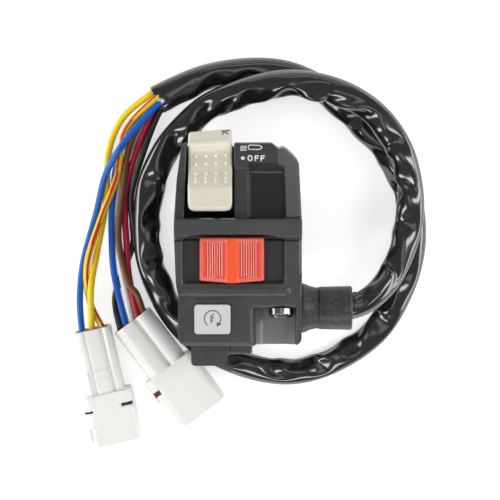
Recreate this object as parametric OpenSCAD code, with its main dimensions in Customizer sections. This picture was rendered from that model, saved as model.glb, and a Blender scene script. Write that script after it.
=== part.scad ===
// Handlebar switch cluster with a light lever, an engine stop slide, a start button and a wire harness.
// It lies on its back. X runs along the handlebar, Y runs up the switch face and Z points out of it.
// The origin is on the handlebar axis, midway along the housing.

/* [Handlebar clamp] */
// Outside diameter of the handlebar tube
bar_d = 22.2; // [20:0.1:25.4]
// Wall between the handlebar and the switch chambers
saddle_wall = 2.4; // [1.8:0.1:3.4]
// Thread diameter of the clamp screws
screw_d = 5; // [4:0.5:6]
// Head diameter of the clamp screws
screw_head_d = 9; // [7.5:0.1:10]
// Head height of the clamp screws
screw_head_h = 3.4; // [2.4:0.1:4.2]
// Material between the handlebar and a clamp screw
screw_clear = 3.4; // [3:0.1:5]
// Width of the rear clamp lug
lug_w = 26; // [20:1:34]
// Material behind the rear clamp screw
lug_wall = 3; // [2.4:0.1:5]
// Height of the rear lug on each half
lug_h = 13; // [11:0.5:16]

/* [Housing] */
// Width of the housing along the handlebar
housing_w = 46; // [44:0.5:52]
// Height of the upper housing above the handlebar axis
upper_h = 34.8; // [33:0.2:38]
// Depth of the lower housing below the handlebar axis
lower_h = 38.9; // [37:0.2:44]
// Wall thickness of both housings
wall = 2.2; // [1.8:0.1:2.6]
// Height of the brow above the parting line
brow_h = 7.6; // [7:0.1:9]
// How far the brow stands out past the stop switch floor
brow_rise = 6.2; // [4.5:0.1:8]
// How far the cheeks stand out past the stop switch floor
cheek_rise = 3.2; // [2:0.1:4]
// Depth of the plain recess beside the light lever below the cheeks
recess_drop = 4.6; // [2:0.1:6]
// Depth of the lower box from the start face to its back
box_depth = 33; // [31:0.5:38]
// Radius of the roll between the stop slide and the start button
roll_r = 3.2; // [2.4:0.1:4]
// Width of the trough that gives access to the front clamp screw
trough_w = 15; // [13:0.2:15.6]
// Width of the hanging tab
tab_w = 13.2; // [8:0.2:14]
// Length of the hanging tab
tab_l = 8.6; // [5:0.2:10]
// Thickness of the hanging tab
tab_t = 5; // [3:0.2:7]

/* [Light lever] */
// Width of the light lever
lever_w = 15.8; // [14:0.1:16.6]
// Running gap on each side of the light lever
lever_gap = 1.1; // [0.6:0.1:1.6]
// Distance of the lever pivot below the top of the upper housing
lever_drop = 13.8; // [12.4:0.1:14.6]
// Distance of the lever pivot in front of the handlebar axis
lever_z = 12; // [11.5:0.1:13]
// Reach of the thumb ridge from the lever pivot
lever_reach = 19.6; // [18:0.1:21]
// Diameter of the lever shaft
shaft_d = 4; // [3:0.1:4.6]
// Turn of the light lever from off to high beam in degrees
lever_turn = 28; // [20:1:32]

/* [Stop slide] */
// Width of the stop slide
stop_w = 23.2; // [20:0.2:26]
// Height of the stop slide
stop_h = 15.6; // [14:0.1:16.2]
// Rise of the centre ridge above the stop switch floor
stop_rise = 6.4; // [5:0.1:8]
// Travel of the stop slide each way from run
stop_travel = 3.6; // [2.5:0.1:4.4]
// Number of grip ribs on each flank
stop_ribs = 6; // [3:1:8]

/* [Start button] */
// Width of the start button
start_w = 13; // [11:0.1:14.5]
// Height of the start button
start_h = 10.6; // [9:0.1:12]
// Stand of the start button above its face
start_proud = 1.8; // [1:0.1:3]
// Travel of the start button
start_travel = 1.8; // [1:0.1:2]
// Wire diameter of the return spring
spring_wire = 0.6; // [0.4:0.05:0.8]
// Active turns of the return spring
spring_turns = 4; // [3:1:5]

/* [Harness] */
// Outside diameter of the harness sleeve
sleeve_d = 10; // [8:0.2:10.4]
// Outside diameter of each wire
wire_d = 2.2; // [1.6:0.1:2.2]
// Wall of the cable boot
boot_wall = 2.2; // [1.2:0.1:2.4]
// Length of the cable boot outside the housing
boot_l = 19; // [14:0.5:19.5]
// Outside diameter of the boot flange
boot_flange_d = 18.4; // [17.2:0.1:18.8]

/* [Connectors] */
// Width of the barrel on the left connector
left_plug_w = 14.2; // [13.4:0.1:16]
// Width of the barrel on the right connector
right_plug_w = 16.4; // [15.6:0.1:18]
// Height of both connectors
plug_h = 14; // [13:0.1:14.4]
// Length of the barrel on the left connector
left_plug_barrel = 24.5; // [20:0.5:28]
// Length of the barrel on the right connector
right_plug_barrel = 22; // [18:0.5:24]
// Length of the shroud on the left connector
left_shroud_l = 19.5; // [16:0.5:22]
// Length of the shroud on the right connector
right_shroud_l = 22; // [18:0.5:24]
// Extra width of the shroud on each side
shroud_step = 2.4; // [1.6:0.1:3]
// Wall of the shroud
shroud_wall = 1.5; // [1.2:0.1:2]

/* [Hidden] */
$fn = 48;
// Clearances and thin stock used in several places
far = 60;
run_gap = 0.25;
fit_gap = 0.05;
eps = 0.4;
through = 1;
contact_gap = 0.25;
brass_t = 0.8;
plate_t = 1.6;
tail_r = 0.8;
pad_r = 1.3;
small_screw_r = 1.1;
small_head_r = 2;
small_head_h = 1.4;

// Handlebar and clamp
bar_r = bar_d / 2;
saddle_r = bar_r + saddle_wall;
screw_r = screw_d / 2;
screw_hole_r = screw_r + 0.25;
head_r = screw_head_d / 2;
head_hole_r = head_r + 0.5;
head_dome = screw_head_h / 3;
slot_w = 1.3;
slot_depth = 1.5;
insert_r = screw_r + 1.2;
boss_r = insert_r + 1.4;
screw_z = bar_r + screw_clear + screw_r;
rest_z = -(screw_z + screw_r + lug_wall);
half_w = housing_w / 2;
rear_seat_y = -(lug_h - screw_head_h - 0.6);
insert_l = 6.2;
insert_y = 0.8;
front_tilt = 10;

// Depth stack of the stop switch, from the saddle out to the floor of its trough
stop_base_z = saddle_r + 0.5;
stop_pad_z = stop_base_z + plate_t;
stop_bridge_z = stop_pad_z + brass_t + contact_gap;
carrier_z = stop_bridge_z + brass_t;
carrier_t = 3.6;
chamber_z = carrier_z + carrier_t + 0.5;
floor_z = chamber_z + wall;
cheek_z = floor_z + cheek_rise;
brow_z = floor_z + brow_rise;
recess_z = cheek_z - recess_drop;
start_face_z = floor_z + 1.6;
start_inner_z = start_face_z - wall;
box_back_z = start_face_z - box_depth;
box_inner_z = box_back_z + wall;
hood_back_z = -4;
tab_x = -half_w + 5.8;
tab_z = 9;
tab_r = 1.4;
tab_lip_w = 9.2;
tab_lip_l = 4.6;
tab_lip_drop = 1.6;

// Light lever well and the chamber to its right
lever_y = upper_h - lever_drop;
well_x0 = -half_w + 3.6;
well_x1 = well_x0 + lever_w + 2 * lever_gap;
well_z = lever_z - 6;
lever_shift = 0.4;
well_lean = 1;
lever_x0 = well_x0 + lever_gap + lever_shift;
lever_x1 = lever_x0 + lever_w;
well_wall = 2.4;
lever_outer_points = [
    [-10.8, lever_reach - 14], [-10.8, lever_reach - 2.4], [-9.6, lever_reach - 0.8], [-2.8, lever_reach],
    [-1.6, lever_reach - 0.6], [2.8, lever_reach - 6], [4.2, lever_reach - 6.6], [9.6, lever_reach - 7],
    [13.4, lever_reach - 5.4], [14.8, lever_reach - 5.4], [16.4, lever_reach - 6.6],
    [18.2, lever_reach - 11.2], [17, lever_reach - 12.6], [4, -3.6], [-4, -3.6]
];
lever_inner_points = [
    [-8.8, lever_reach - 14.6], [-8.8, lever_reach - 2.8], [-3.2, lever_reach - 2.2],
    [1.6, lever_reach - 8.2], [3.6, lever_reach - 8.8], [9.8, lever_reach - 9.2], [13.6, lever_reach - 7.6],
    [15.4, lever_reach - 9],
    [15.8, lever_reach - 11.6], [12, lever_reach - 14.4], [3.4, -3], [-3.4, -3]
];
light_plate_points = [
    [-9.8, -1.6], [-7.2, -5], [-5.4, -9], [-5.3, -11.6], [6, -11.6], [8.6, -5.6], [8.6, 1], [3.6, 4.2],
    [-3.6, 4.2], [-9.8, 0.8]
];
chamber_x0 = well_x1 + well_wall;
shaft_r = shaft_d / 2;
rotor_x0 = chamber_x0 + 0.4;
rotor_x1 = rotor_x0 + 3;
rotor_r = 8.6;
rotor_half_angle = 24;
light_bridge_x = rotor_x1 + brass_t;
light_pad_x = light_bridge_x + contact_gap;
light_plate_x0 = light_pad_x + brass_t;
light_plate_x1 = light_plate_x0 + plate_t;
light_post_r = 2.6;
light_posts = [[lever_y - 6, lever_z - 2.4], [lever_y + 6, lever_z - 2.4]];
light_arc_r = 6.4;
light_pad_angles = [2 - lever_turn, 0, lever_turn - 2];
light_pad_r = 1.1;
bump_z = lever_z - rotor_r - 0.3;
peg_r = 0.9;
peg_y = 4.3;
recess_x0 = well_x1 + 5.4;
recess_x1 = half_w - 6.2;
recess_y1 = upper_h - 11;
pad_y0 = upper_h - 7.4;
pad_x1 = half_w - 8.6;
hood_gap_y = upper_h - 1.8;
hood_top_y = upper_h - 3;
strip_z = cheek_z - 2;
shoulder_z = cheek_z - 2.6;

// Stop slide
trough_x0 = -half_w + 3.4;
trough_x1 = half_w - 6.6;
stop_shift = 0.6;
stop_x = (trough_x0 + trough_x1) / 2 - stop_shift;
stop_y1 = 0.7;
stop_y0 = stop_y1 - stop_h;
stop_y = (stop_y0 + stop_y1) / 2;
trough_y0 = stop_y0 - 1;
stem_w = 5;
carrier_half_w = 6.6;
carrier_y0 = stop_y - 4.8;
carrier_y1 = stop_y + 4.8;
stop_plate_y0 = carrier_y0 - 3.2;
stop_plate_y1 = -0.6;
fence_y = carrier_y0 - 1.8;
fence_over = 3;
fence_z = carrier_z + 2.6;
stop_bump_y = fence_y + 0.3;
pad_pitch = 4.2;
stop_pad_x = [for (k = [-1.5 : 1.5]) stop_x + k * pad_pitch];
rib_w = 0.55;
rib_rise = 0.35;
leaf_t = 0.35;
bump_r = 0.7;
notch_r = bump_r + 0.2;

// Start button
roll_y = trough_y0 - roll_r + 0.4;
roll_z = start_face_z - roll_r * 0.45;
roll_end = half_w - 3;
start_x = -half_w + 13.8;
start_y = -lower_h + 10;
aperture_gap = 0.3;
flange_t = 1.6;
flange_lip = 1;
start_flange_z1 = start_inner_z - 0.05;
start_flange_z0 = start_flange_z1 - flange_t;
start_stem_r = 2.2;
start_plate_z1 = start_flange_z0 - 8.4;
start_plate_z0 = start_plate_z1 - plate_t;
start_bridge_z = start_plate_z0 - 0.6 - brass_t;
start_pad_z = start_bridge_z - start_travel - contact_gap;
start_floor_z1 = start_pad_z - brass_t;
start_floor_z0 = start_floor_z1 - plate_t;
start_base_half_w = 6;
start_base_half_h = 4.4;
start_ear = 8.1;
start_boss_r = 2;
start_boss_l = 6.5;
start_pad_x = 3.3;
start_pad_r = 0.9;
start_tail_r = 0.7;
start_tail_l = 3;
start_bridge_half_w = 4;
start_bridge_half_h = 2.9;
spring_mean_r = start_stem_r + 0.5 + spring_wire;
spring_steps = 10;
spring_seat = 0.05;
spring_rise = start_flange_z0 - start_plate_z1 - spring_wire - 2 * spring_seat;
spring_points = [for (i = [0 : spring_turns * spring_steps]) let (a = 360 * i / spring_steps) [
    start_x + spring_mean_r * cos(a), start_y + spring_mean_r * sin(a),
    start_plate_z1 + spring_seat + spring_wire / 2 + spring_rise * i / (spring_turns * spring_steps)]];

// Front clamp screw and its trough
trough_x = half_w - 7.4;
trough_shift = -2.1;
front_seat = -26;
trough_half = trough_w / 2;
front_tip = insert_y + insert_l - 0.4;
column_r = screw_hole_r + 1.6;
stop_plate_x0 = stop_x - carrier_half_w - stop_travel - 2.2;
stop_plate_x1 = trough_x - column_r - 1.2;
rail_lip = 1.1;
trough_wall = 1.8;
trough_r = 4;
trough_back = head_hole_r + 0.4;

// Cable boot
boot_y = -lower_h + 11.4;
boot_bore_r = sleeve_d / 2 + 0.4;
boot_tube_r = boot_bore_r + boot_wall;
boot_neck_r = boot_bore_r + 0.8;
boot_collar_r = boot_neck_r + 0.7;
boot_collar_l = 1.8;
boot_flare = 0.5;
boot_z = box_back_z + max(boot_flange_d / 2 + 0.2, wall + boot_collar_r + 0.1);
boot_x0 = half_w + 0.1;
boot_x1 = half_w + boot_l;
boot_waist_x = half_w + 5.8;
boot_inner_x = half_w - wall - 0.1;

// Connectors lie on the surface that the cluster rests on
left_plug_place = [-55.3, -37.2, -77.5];
right_plug_place = [-40.2, -34, -53];
plug_pin_z = 8;
plug_pin_pitch = 3.8;
right_pin_pitch = 2.7;
pin_half = 0.5;
pin_reach = 7;
seal_l = 6;
seal_gap = 0.05;
barrel_wall = 1.3;
left_barrel_r = 2.6;
right_barrel_r = 4;
barrel_z0 = 1.2;
barrel_z1 = plug_h - 1;
left_floor = 4;
right_floor = 10;
retainer_x = right_plug_barrel + 6;
retainer_l = 3;
retainer_z0 = plug_pin_z + 1;
retainer_z1 = plug_pin_z + 3.6;
window_l = 2.6;
left_half = left_plug_w / 2;
right_half = right_plug_w / 2;
right_wide = right_half + shroud_step;

// Route of the harness sleeve as X, Y and height above the surface, from the boot to its open end
sleeve_route = [
    [half_w + 9, boot_y, boot_z - rest_z], [half_w + 19, boot_y, boot_z - rest_z], [49, -24.2, 23],
    [55.3, -17.6, 19.8], [60, -9, 17], [63, 0.5, 15.8], [64.5, 10, 15.8], [63.5, 20, 15.8],
    [60.5, 30.5, 15.8], [55, 39.5, 15.8],
    [47, 47, 15.8], [37, 52, 15.8], [27.5, 54.5, 15.8], [18, 55.5, 15.8], [8, 53.5, 14],
    [-1.5, 50.5, 11.2], [-11, 46.5, 8], [-19, 40, 5.6], [-26, 32, 5], [-30.5, 23, 5],
    [-34, 13, 5], [-34.5, 2, 5], [-34, -9.5, 5], [-31, -20, 5], [-26, -30, 5],
    [-19, -38.5, 5], [-10.5, -45.5, 5], [-0.5, -50.5, 5], [10.5, -53.5, 5], [21.5, -54, 5],
    [32.5, -51, 5], [43, -45.5, 5], [52, -38, 5], [58.5, -28, 5], [63, -17, 5],
    [65.5, -6, 5], [65.5, 6, 5], [62.5, 17.5, 5], [56.5, 28.5, 5], [49, 37.5, 5],
    [40.5, 46, 5], [30.5, 53, 5], [19, 58, 5], [7, 60, 5], [-5, 59, 5],
    [-16, 56, 5], [-25, 51.5, 5], [-30.5, 48.5, 5]
];
sleeve_count = len(sleeve_route);
sleeve_sides = 10;
sleeve_first = [1, 0, 0];
sleeve_end = sleeve_route[sleeve_count - 1];
sleeve_last = unit(sleeve_end - sleeve_route[sleeve_count - 2]);
sleeve_across = cross([0, 0, 1], sleeve_last);
wire_sides = 8;

// Least gap between two stretches of the sleeve that are not neighbours, measured on quarter points
sleeve_fine = [for (i = [0 : sleeve_count - 2], k = [0 : 3])
    sleeve_route[i] + (sleeve_route[i + 1] - sleeve_route[i]) * k / 4];
sleeve_skip = 16;
sleeve_gap = min([for (i = [0 : len(sleeve_fine) - 1], k = [0 : len(sleeve_fine) - 1])
    if (k - i > sleeve_skip) norm(sleeve_fine[i] - sleeve_fine[k])]) - sleeve_d;
echo(least_gap_of_the_sleeve_to_itself = sleeve_gap);

// Profiles in Y and Z are drawn along X, profiles in X and Z along Y
module along_x(x0, x1) { translate([x0, 0, 0]) rotate([90, 0, 90]) linear_extrude(x1 - x0) children(); }
module along_y(y0, y1) { translate([0, y1, 0]) rotate([90, 0, 0]) linear_extrude(y1 - y0) children(); }
module along_z(z0, z1) { translate([0, 0, z0]) linear_extrude(z1 - z0) children(); }
module block(x0, x1, y0, y1, z0, z1) { translate([x0, y0, z0]) cube([x1 - x0, y1 - y0, z1 - z0]); }
module rod_x(x0, x1, r, y, z) { translate([x0, y, z]) rotate([0, 90, 0]) cylinder(h = x1 - x0, r = r); }
module rod_y(y0, y1, r, x, z) { translate([x, y1, z]) rotate([90, 0, 0]) cylinder(h = y1 - y0, r = r); }
module rod_z(z0, z1, r, x, y) { translate([x, y, z0]) cylinder(h = z1 - z0, r = r); }

module round_rect(x0, x1, y0, y1, r) {
    translate([x0 + r, y0]) square([x1 - x0 - 2 * r, y1 - y0]);
    translate([x0, y0 + r]) square([x1 - x0, y1 - y0 - 2 * r]);
    for (x = [x0 + r, x1 - r], y = [y0 + r, y1 - r]) translate([x, y]) circle(r);
}

// A front clamp screw leans back, so its own frame has Y along the screw and its origin on the parting plane
module front_axis() { translate([trough_x, 0, screw_z]) rotate([-front_tilt, 0, 0]) children(); }

// A tube swept along points, with the directions of its first and last rings given
function unit(v) = v / norm(v);
function cord_dir(p, i, first, last) =
    i == 0 ? first : i == len(p) - 1 ? last : unit(unit(p[i + 1] - p[i]) + unit(p[i] - p[i - 1]));
function cord_ring(p, d, r, sides) =
    let (side = unit(cross([0, 0, 1], d)), up = cross(d, side))
    [for (k = [0 : sides - 1]) let (a = 360 * (k + 0.5) / sides) p + r * (cos(a) * side + sin(a) * up)];

module cord(p, r, sides, first, last) {
    n = len(p);
    rings = [for (i = [0 : n - 1]) each cord_ring(p[i], cord_dir(p, i, first, last), r, sides)];
    walls = [for (i = [0 : n - 2], k = [0 : sides - 1])
        let (a = i * sides + k, b = i * sides + (k + 1) % sides)
        each [[a, a + sides, b], [b, a + sides, b + sides]]];
    start = [for (k = [1 : sides - 2]) [0, k, k + 1]];
    top = (n - 1) * sides;
    finish = [for (k = [1 : sides - 2]) [top, top + k + 1, top + k]];
    polyhedron(points = rings, faces = concat(walls, start, finish), convexity = 10);
}

// Small self tapping screw with its head underside at the origin and its shank along -Z
module small_screw(l) {
    translate([0, 0, -l]) cylinder(h = l, r = small_screw_r - fit_gap);
    cylinder(h = small_head_h, r = small_head_r);
}

// Pan head clamp screw along Y with its seat at y0 and its tip at y1
module clamp_screw(y0, y1) {
    top = y0 - screw_head_h;
    difference() {
        rotate([-90, 0, 0]) rotate_extrude() polygon([
            [0, top], [head_r - head_dome, top], [head_r, top + head_dome], [head_r, y0], [screw_r, y0],
            [screw_r, y1], [0, y1]]);
        for (turn = [0, 90]) translate([0, top, 0]) rotate([0, turn, 0])
            block(-head_r / 2, head_r / 2, -through, slot_depth, -slot_w / 2, slot_w / 2);
    }
}

module threaded_insert(y0, l) {
    difference() {
        rod_y(y0, y0 + l, insert_r, 0, 0);
        rod_y(y0 - 1, y0 + l + 1, screw_r + fit_gap, 0, 0);
    }
}

// Upper housing
module upper_outline() {
    polygon([
        [-half_w, 0], [half_w, 0], [half_w, brow_h], [half_w - 1, upper_h - 7.4],
        [half_w - 6.2, upper_h - 2], [pad_x1, upper_h - 2.4], [pad_x1 - 2.2, upper_h],
        [-half_w + 4.2, upper_h], [-half_w + 2.7, upper_h - 1.2], [-half_w + 0.9, lever_y], [-half_w, brow_h]
    ]);
}

module upper_side() {
    polygon([
        [0, hood_back_z - 2.5], [saddle_r + 2, hood_back_z - 2.5], [hood_top_y, hood_back_z + 2.5],
        [upper_h, cheek_z - 2.6], [upper_h - 0.8, cheek_z - 1.2], [brow_h, cheek_z], [brow_h, brow_z - 0.6],
        [brow_h - 0.6, brow_z], [1.4, brow_z], [0, brow_z - 1.4]
    ]);
}

module upper_shape() {
    difference() {
        intersection() {
            along_x(-half_w, half_w) upper_side();
            along_z(-far, far) upper_outline();
        }
        // Light lever well, open at the top
        along_z(well_z, far) polygon([
            [well_x0, brow_h], [well_x1, brow_h], [well_x1, far], [well_x0 + well_lean, far],
            [well_x0 + well_lean, upper_h]]);
        block(well_x0 + well_lean, well_x1, hood_gap_y, far, -far, far);
        // Plain recess with its sloped upper face, and the lower strip beside it
        along_x(recess_x0, recess_x1) polygon([
            [brow_h, recess_z], [recess_y1, recess_z], [pad_y0, cheek_z - 1.2], [pad_y0, far],
            [brow_h, far]]);
        along_x(well_x1 - eps, recess_x0 + eps) polygon([
            [brow_h, strip_z], [pad_y0 - 2, strip_z], [pad_y0, cheek_z - 0.4], [pad_y0, far], [brow_h, far]]);
        // Shoulder to the right of the pad and the recess
        along_y(brow_h, upper_h + 1) polygon([
            [pad_x1, shoulder_z + 0.8], [recess_x1, shoulder_z], [half_w + 1, shoulder_z - 4],
            [half_w + 1, far], [pad_x1, far]]);
        // Arch in the brow over the stop slide
        along_z(floor_z, far) polygon([
            [trough_x0, -1], [trough_x0, 0.3], [stop_x - stop_w / 2 - 1, stop_y1 + 1.2],
            [stop_x + stop_w / 2 + 1, stop_y1 + 1.2], [trough_x1, 0.3], [trough_x1, -1]]);
    }
}

module upper_cavity() {
    along_x(-half_w + wall, half_w - wall) polygon([
        [-1, 0], [-1, chamber_z], [wall, chamber_z], [wall, brow_z - wall], [brow_h - wall, brow_z - wall],
        [brow_h - wall, well_z - wall], [hood_top_y - wall, well_z - wall],
        [hood_top_y - wall, hood_back_z + 2.5 + wall], [saddle_r + 2, hood_back_z - 2.5 + wall],
        [0, hood_back_z - 2.5 + wall]]);
    block(chamber_x0, half_w - wall - 1, brow_h - wall - eps, upper_h - wall - 2.6,
        well_z - wall - eps, recess_z - wall);
}

module upper_housing() {
    color("#2b2c2e") difference() {
        union() {
            difference() {
                upper_shape();
                upper_cavity();
            }
            intersection() {
                along_x(-half_w, half_w) polygon([[0, -20], [20, -20], [20, 24], [0, 24]]);
                union() {
                    rod_x(-half_w, half_w, saddle_r, 0, 0);
                    front_axis() rod_y(-4, insert_y + insert_l + 1.2, boss_r, 0, 0);
                }
            }
            block(-lug_w / 2, lug_w / 2, 0, lug_h, rest_z, -bar_r + 2);
        }
        rod_x(-half_w - 1, half_w + 1, bar_r, 0, 0);
        front_axis() rod_y(-4, insert_y + insert_l, insert_r, 0, 0);
        rod_y(-1, insert_y + insert_l, insert_r, 0, -screw_z);
        rod_x(-half_w + 1.2, well_x0 + 1, shaft_r + fit_gap, lever_y, lever_z);
        rod_x(well_x1 - 1, chamber_x0 + 1, shaft_r + fit_gap, lever_y, lever_z);
        for (p = light_posts) rod_x(chamber_x0 - 1.8, chamber_x0 + 1, small_screw_r, p[0], p[1]);
    }
}

// Lower housing
module lower_outline() {
    round_rect(-half_w + 1.4, half_w, -lower_h, -10, 3.2);
    polygon([[-half_w, 0], [half_w, 0], [half_w, -13], [-half_w + 1.4, -20.5], [-half_w + 0.6, -16]]);
}

module lower_side() {
    polygon([
        [0, -9], [0, floor_z + 3], [trough_y0, floor_z + 3], [roll_y - roll_r, start_face_z],
        [-lower_h + 1.5, start_face_z], [-lower_h, start_face_z - 1.5], [-lower_h, box_back_z + 1.5],
        [-lower_h + 1.5, box_back_z], [-saddle_r - 4, box_back_z]
    ]);
}

module lower_shape() {
    intersection() {
        union() {
            along_x(-half_w, half_w) lower_side();
            rod_x(-half_w, roll_end - roll_r, roll_r, roll_y, roll_z);
            translate([roll_end - roll_r, roll_y, roll_z]) sphere(roll_r);
        }
        along_z(-far, far) lower_outline();
    }
}

module lower_cavity() {
    along_x(-half_w + 1.4 + wall, half_w - wall) polygon([
        [1, 0], [1, chamber_z], [trough_y0 - 0.8, chamber_z], [trough_y0 - 0.8, start_inner_z],
        [-lower_h + wall, start_inner_z], [-lower_h + wall, box_inner_z], [-saddle_r - 3, box_inner_z],
        [0, -7]]);
}

module stop_rails() {
    for (x = [[stop_plate_x0 - 1.6, stop_plate_x0 + 1.2], [stop_plate_x1 - 1.2, stop_plate_x1 + 1.6]])
        block(x[0], x[1], stop_plate_y0, 0, saddle_r - 4, stop_pad_z + rail_lip);
}

module lower_housing() {
    color("#2b2c2e") difference() {
        union() {
            difference() {
                lower_shape();
                lower_cavity();
            }
            intersection() {
                lower_shape();
                union() {
                    front_axis() rod_y(front_seat - 4, 4, column_r, 0, 0);
                    front_axis() along_y(-far, front_seat + 2) translate([trough_shift, 0])
                        round_rect(-trough_half - trough_wall, trough_half + trough_wall,
                            -trough_back - trough_wall, far, trough_r);
                }
            }
            intersection() {
                rod_x(-half_w, half_w, saddle_r, 0, 0);
                block(-half_w, half_w, -20, 0, -20, 20);
            }
            stop_rails();
            block(-lug_w / 2, lug_w / 2, -lug_h, 0, rest_z, -bar_r + 2);
            for (side = [-1, 1])
                rod_z(box_inner_z - eps, start_floor_z0, start_boss_r, start_x + side * start_ear, start_y);
            // Hanging tab and the lip beside it
            along_z(tab_z, tab_z + tab_t)
                round_rect(tab_x, tab_x + tab_w, -lower_h - tab_l, -lower_h + 2, tab_r);
            block(tab_x + tab_w, tab_x + tab_w + tab_lip_w, -lower_h - tab_lip_l, -lower_h + 1,
                tab_z, tab_z + tab_t - tab_lip_drop);
        }
        rod_x(-half_w - 1, half_w + 1, bar_r, 0, 0);
        front_axis() rod_y(front_seat - 1, 8, screw_hole_r, 0, 0);
        front_axis() along_y(-far, front_seat) translate([trough_shift, 0])
            round_rect(-trough_half, trough_half, -trough_back, far, trough_r);
        rod_y(-lug_h - 1, 1, screw_hole_r, 0, -screw_z);
        rod_y(-lug_h - 1, rear_seat_y, head_hole_r, 0, -screw_z);
        // Trough and slot of the stop slide
        block(trough_x0, trough_x1, trough_y0, 1, floor_z, far);
        block(stop_x - stem_w / 2 - stop_travel - 0.4, stop_x + stem_w / 2 + stop_travel + 0.4,
            stop_y - stem_w / 2 - run_gap, stop_y + stem_w / 2 + run_gap, chamber_z - eps, floor_z + eps);
        block(stop_plate_x0 - fit_gap, stop_plate_x1 + fit_gap, stop_plate_y0 - 1, 1,
            stop_base_z - fit_gap, stop_pad_z + fit_gap);
        // Opening for the start button, screw holes under its base and the cable entry
        along_z(start_inner_z - eps, start_face_z + 1) round_rect(
            start_x - start_w / 2 - aperture_gap, start_x + start_w / 2 + aperture_gap,
            start_y - start_h / 2 - aperture_gap, start_y + start_h / 2 + aperture_gap, 1.4);
        for (side = [-1, 1])
            rod_z(start_floor_z0 - start_boss_l, start_floor_z0 + through, small_screw_r,
                start_x + side * start_ear, start_y);
        rod_x(half_w - wall - 1, half_w + 1, boot_neck_r + fit_gap, boot_y, boot_z);
    }
}

module front_clamp_screw() { color("#c8c9cb") front_axis() clamp_screw(front_seat, front_tip); }
module rear_clamp_screw() {
    color("#c8c9cb") translate([0, 0, -screw_z]) clamp_screw(rear_seat_y, front_tip);
}
module front_insert() { color("#b08d3c") front_axis() threaded_insert(insert_y, insert_l); }
module rear_insert() { color("#b08d3c") translate([0, 0, -screw_z]) threaded_insert(insert_y, insert_l); }

// Light lever and the parts that turn with it
module pivot_side() { translate([lever_y, lever_z]) children(); }

module lever_outer() { polygon(lever_outer_points); }
module lever_inner() { polygon(lever_inner_points); }

module light_lever() {
    web = 2;
    color("#e6e0cc") difference() {
        union() {
            along_x(lever_x0, lever_x1) pivot_side() difference() {
                lever_outer();
                lever_inner();
            }
            for (x = [lever_x0, lever_x1 - web]) along_x(x, x + web) pivot_side() lever_outer();
            rod_x(lever_x0, lever_x1, shaft_r + 2, lever_y, lever_z);
        }
        rod_x(lever_x0 - 1, lever_x1 + 1, shaft_r + fit_gap, lever_y, lever_z);
    }
}

module light_shaft() {
    color("#9a9c9e") rod_x(-half_w + 1.3, light_plate_x1 - 0.2, shaft_r, lever_y, lever_z);
}

module sector(r, half) {
    intersection() {
        circle(r);
        polygon([[0, 0], [-2 * r * sin(half), -2 * r * cos(half)], [2 * r * sin(half), -2 * r * cos(half)]]);
    }
}

module light_rotor() {
    color("#d8d4c8") along_x(rotor_x0, rotor_x1) pivot_side() difference() {
        union() {
            circle(shaft_r + 1.5);
            rotate(lever_turn / 2) sector(rotor_r, rotor_half_angle);
        }
        circle(shaft_r + fit_gap);
        for (step = [0 : 2])
            rotate(step * lever_turn / 2) translate([0, bump_z - lever_z]) circle(notch_r);
    }
}

module light_bridge() {
    color("#c58b4e") along_x(rotor_x1, light_bridge_x) pivot_side() rotate(lever_turn / 2) difference() {
        sector(light_arc_r + 1.2, rotor_half_angle - 8);
        circle(light_arc_r - 1.4);
    }
}

module light_pad_holes(r) {
    for (a = light_pad_angles) pivot_side() rotate(a) translate([0, -light_arc_r]) circle(r);
}

module light_contact_plate() {
    color("#6f4a2c") {
        along_x(light_plate_x0, light_plate_x1) difference() {
            pivot_side() polygon(light_plate_points);
            pivot_side() circle(shaft_r + fit_gap);
            light_pad_holes(tail_r + fit_gap);
            for (p = light_posts) translate(p) circle(small_screw_r);
        }
        for (p = light_posts) difference() {
            rod_x(chamber_x0, light_plate_x0, light_post_r, p[0], p[1]);
            rod_x(chamber_x0 - 1, light_plate_x0 + 1, small_screw_r, p[0], p[1]);
        }
        for (y = [-peg_y, peg_y])
            rod_x(rotor_x0 + 0.5, light_plate_x0, peg_r, lever_y + y, bump_z - bump_r - leaf_t / 2 - peg_r);
    }
}

module light_terminals() {
    color("#c9a24a") {
        along_x(light_pad_x, light_plate_x0) light_pad_holes(light_pad_r);
        along_x(light_plate_x0, light_plate_x1 + 2.4) light_pad_holes(tail_r);
    }
}

module light_detent_spring() {
    color("#b9bcc0") {
        along_x(rotor_x0 + 0.6, rotor_x1 - 0.6) {
            translate([lever_y - peg_y - 1, bump_z - bump_r - leaf_t / 2]) square([2 * peg_y + 2, leaf_t]);
            translate([lever_y, bump_z]) circle(bump_r);
            translate([lever_y - bump_r, bump_z - bump_r]) square([2 * bump_r, bump_r]);
        }
    }
}

module light_plate_screws() {
    color("#c8c9cb") for (p = light_posts)
        translate([light_plate_x1, p[0], p[1]]) rotate([0, 90, 0])
            small_screw(light_plate_x1 - chamber_x0 + 1.6);
}

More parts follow.
